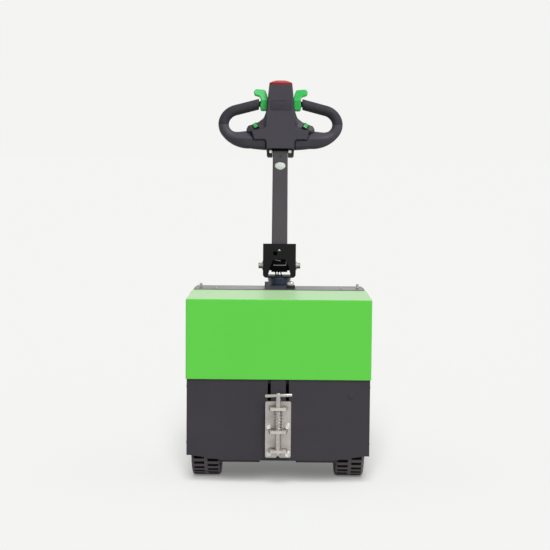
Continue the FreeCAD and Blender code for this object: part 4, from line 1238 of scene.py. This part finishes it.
pinEnd = {"Washer": ([(9.2, 0), (14.5, 0), (14.5, 1.6), (14.1, 2.0), (9.2, 2.0)], True),
          "Cap": ([(8.8, 11.4), (9.4, 12.0), (9.4, 13.4), (8.6, 14.2), (5.4, 14.4), (1, 14.4)], False),
          "Clip": ([(8.0, 2.2), (11.6, 2.2), (11.6, 3.4), (8.0, 3.4)], True)}
for side, name in bothSides:
    face = bracketHigh.x if side > 0 else bracketLow.x
    for part, (profile, closed) in pinEnd.items():
        makePiece(name + "Pin" + part, lathe(profile, 36, closed), "steering", "bright_steel",
                  finish="zincSteel",
                  place=Matrix.Translation((face, pivotCentre.y, pivotCentre.z)) @ turned(90 * side, "Y"))

# The stop plate's feet, its blind hole, and the switch tray behind the window
plateFoot = {"outline": [(35.4, 558.6), (46, 558.6), (46, 571.5), (35.6, 571.5), (35.6, 584.0),
                         (29.0, 584.0)],
             "front": 0.02, "back": 4.98}
for side, name in bothSides:
    outline = [Vector((side * a, b)) for a, b in plateFoot["outline"]]
    makePiece(name + "PlateFoot", prism(outline, plateFoot["front"], plateFoot["back"], inward), "steering",
              "bracket_paint", place=bracketFace)
stopHole = {"x": -13, "z": 629,
            "profile": [(7.2, 3.0), (8.6, 3.0), (8.6, 8.0), (7.8, 8.6), (0.5, 8.6), (0.5, 7.6), (6.6, 7.6),
                        (7.0, 7.0)]}
# Near-black cup lining the stop plate's blind hole: painted shade in the hole.
makePiece("stopHoleCup", lathe(stopHole["profile"], 32, True), "steering", "black_plastic",
          finish="shadowPlastic", place=onFace(stopHole["x"], bracketLow.y, stopHole["z"], -90))


def barBetween(start, end, high, deep, front=3.2):
    # Flat bar between two points of the window's plane.
    a, b = Vector(start), Vector(end)
    along = (b - a).normalized()
    across = Vector((-along.y, along.x)) * high / 2
    return prism([a - across, b - across, b + across, a + across], front, front + deep, inward)


# Tray and lever are pale grey; the tone also paints the edge highlights of the switch in the window.
switchTray = [((-18.5, 592.6), (21, 592.6), 2.8, 3.4), ((20, 592), (21, 607), 2.2, 3.4)]
switchLever = ((-15, 609.5), (4, 606), 3.0, 2.6)
switchShroud = {"outline": [(25.5, 594.5, 0.5), (30.5, 581, 4), (24, 575.5, 8)], "front": 5.2, "back": 9.4}
makePiece("switchTray", joined(*[barBetween(*bar) for bar in switchTray]), "steering", "bracket_paint",
          finish="trayPaint", bevel=0.4, place=bracketFace)
makePiece("switchLever", barBetween(*switchLever), "steering", "black_plastic", finish="trayPaint", bevel=0.6,
          place=bracketFace)
# The shroud behind the window takes the near-black shadowPlastic: painted shade of the window.
s = switchShroud
makePiece("switchShroud", prism(evenOutline(s["outline"], 4), s["front"], s["back"], inward),
          "steering", "black_plastic", finish="shadowPlastic", bevel=0.5, place=bracketFace)

columnSleeve = {"profile": [(28, 530.8), (33.0, 530.8), (33.6, 531.6), (33.9, 537.8), (35.5, 547.7),
                            (36.0, 552.9), (35.4, 553.7), (28, 553.7)]}
makePiece("columnSleeve", lathe(columnSleeve["profile"], 56, True), "steering", "column_paint",
          place=columnAxis)

leads = [
    {"name": "leadStraight", "radius": 2.1,
     "points": [(-13, 168, 606), (-13, 167, 592), (-12.5, 170, 578), (-11, 178, 566), (-9, 186, 556)]},
    {"name": "leadCrossed", "radius": 1.7,
     "points": [(-6, 169, 600), (-5, 170, 586), (2, 174, 574), (6, 181, 564), (4, 189, 556)]},
    {"name": "leadCrossedBack", "radius": 1.7,
     "points": [(8, 169, 600), (7, 171, 586), (0, 176, 575), (-4, 183, 565), (-2, 192, 556)]},
]
for lead in leads:
    line = [Vector(point) * mm for point in easedThrough(lead["points"], 8)]
    makePiece(lead["name"], tubeAlong(line, lead["radius"] * mm, (1, 0, 0.02)), "steering", "black_plastic",
              sharp=60)
print("bracket fitted")


# Sides, back and castor: button-head screws, weld beads, nuts and valves

wallSides = (boxOf("left_side_panel")[0].x, boxOf("right_side_panel")[1].x)
rearWallY = boxOf("rear_panel")[1].y
buttonRise = [(1, -0.2, 0), (1, 0, 0.25), (0.93, 0, 0.6), (0.76, 0, 0.88), (0.56, 0, 1)]


def buttonHead(s):
    r, tall = s["radius"], s["tall"]
    rings = [ringAt(r * wide * mm, (low + tall * rise) * mm, 24) for wide, low, rise in buttonRise]
    return skin(rings + [hexRing(s["socket"], tall), hexRing(s["socket"], tall - s["socketDeep"])])


wallScrew = {"radius": 4.8, "tall": 2.2, "socket": 4.0, "socketDeep": 1.3,
             "side": [(44, 500), (140, 500), (140, 330), (140, 160), (-236, 280), (-236, 120)],
             "rear": [(236, 500), (236, 290)]}
headScrew = {"radius": 4.0, "tall": 1.5, "socket": 3.2, "socketDeep": 1.0,
             "spots": [(26, 33.0, 14), (26, 33.0, 108), (80, 13.0, 67)]}
s = wallScrew
heads = [moved(buttonHead(s), outFrom((wallSides[side > 0], y * mm, z * mm), (side, 0, 0)))
         for side in (-1, 1) for y, z in s["side"]]
heads += [moved(buttonHead(s), outFrom((side * x * mm, rearWallY, z * mm), (0, 1, 0)))
          for side in (-1, 1) for x, z in s["rear"]]
makePiece("panelScrews", joined(*heads), "chassis", "bright_steel", sharp=30)
s = headScrew
heads = [moved(buttonHead(s), outFrom(inMm(side * x, depth, w), (0, 1, 0)))
         for side in (-1, 1) for x, depth, w in s["spots"]]
headPiece("headScrews", joined(*heads), "head_plastic", finish="blackPlastic", sharp=30)

stockPlates = {"levels": (266.0, 274.0, 500.0, 508.0), "lift": 0.6, "halfRoot": 73.0, "rootStep": 0.8,
               "off": 0.4, "tubeRadius": 34.0, "tubeSteps": 250, "radius": 2.0, "ripple": 0.3, "rough": 0.1,
               "pitch": 3.2}


def stockBeads(s):
    # A straight bead on the rear wall and one round the tube, above or below every plate.
    beads = []
    for count, level in enumerate(s["levels"]):
        z = level + (s["lift"] if count % 2 else -s["lift"])
        steps = int(2 * s["halfRoot"] / s["rootStep"])
        root = [Vector(((2 * k / steps - 1) * s["halfRoot"] * mm, rearWallY + s["off"] * mm, z * mm))
                for k in range(steps + 1)]
        turns = [2 * math.pi * k / s["tubeSteps"] for k in range(s["tubeSteps"])]
        ring = [inMm(s["tubeRadius"] * math.sin(turn),
                     pivotCentre.y / mm + s["tubeRadius"] * math.cos(turn), z) for turn in turns]
        for path, closed in ((root, False), (ring, True)):
            beads.append(lumpyTube(path, [i * s["rootStep"] for i in range(len(path))], s, (0, 0, 1), closed))
    return joined(*beads)


makePiece("headstockWelds", stockBeads(stockPlates), "chassis", "chassis_paint", sharp=70)

axleNut = {"flats": 24, "height": 5.1, "washer": 14.8, "bore": 4.0, "thick": 1.6}
castorCentre = boxOf("castor_axle")[2]
forkHalf = boxOf("castor_fork")[1].x
axle = lathe([(9.9, -forkHalf / mm), (9.9, forkHalf / mm)], 40)
nuts = [moved(hexBolt(axleNut), outFrom(castorCentre + Vector((side * forkHalf, 0, 0)), (side, 0, 0)))
        for side in (1, -1)]
makePiece("castorBolt", joined(moved(axle, outFrom(castorCentre, (1, 0, 0))), *nuts), "steering",
          "bright_steel", ["castor_axle"], 34)

thrustRing = {"profile": [(27.4, 220.2), (30.8, 220.2), (31.4, 220.8), (31.4, 225.1), (30.8, 225.7),
                          (27.4, 225.7)]}
makePiece("thrustRing", lathe(thrustRing["profile"], 48, True), "steering", "bright_steel", place=columnAxis)

wheelNut = {"flats": 36, "tall": 7.1, "bore": 12.7, "out": 37.4, "shoulder": 0.8}
valve = {"profile": [(3.0, 13.6), (3.0, 21.0), (3.7, 21.4), (3.7, 29.2), (2.9, 30.0), (0.6, 30.0)],
         "reach": 41.0, "angle": 36}
s = wheelNut
flats, tall = s["flats"], s["tall"]
nut = skin([hexRing(flats, 0), hexRing(flats, tall * s["shoulder"]),
            hexRing(flats, tall, flats * boltHead["chamfer"]), ringAt(s["bore"] * mm, tall * mm, 24),
            ringAt(s["bore"] * mm, 0, 24)], True)
turn = math.radians(valve["angle"])
for side, name in bothSides:
    wheelCentre = boxOf(name + "_rim")[2]
    makePiece(name + "WheelNut", nut, "chassis", "bright_steel",
              place=outFrom(wheelCentre + inMm(side * s["out"], 0, 0), (side, 0, 0)))
    spot = wheelCentre + inMm(0, valve["reach"] * math.cos(turn), valve["reach"] * math.sin(turn))
    makePiece(name + "Valve", lathe(valve["profile"], 20), name + "_wheel", "rim_paint", finish="blackRubber",
              place=outFrom(spot, (side, 0, 0)))
print("sides, back and castor trimmed")
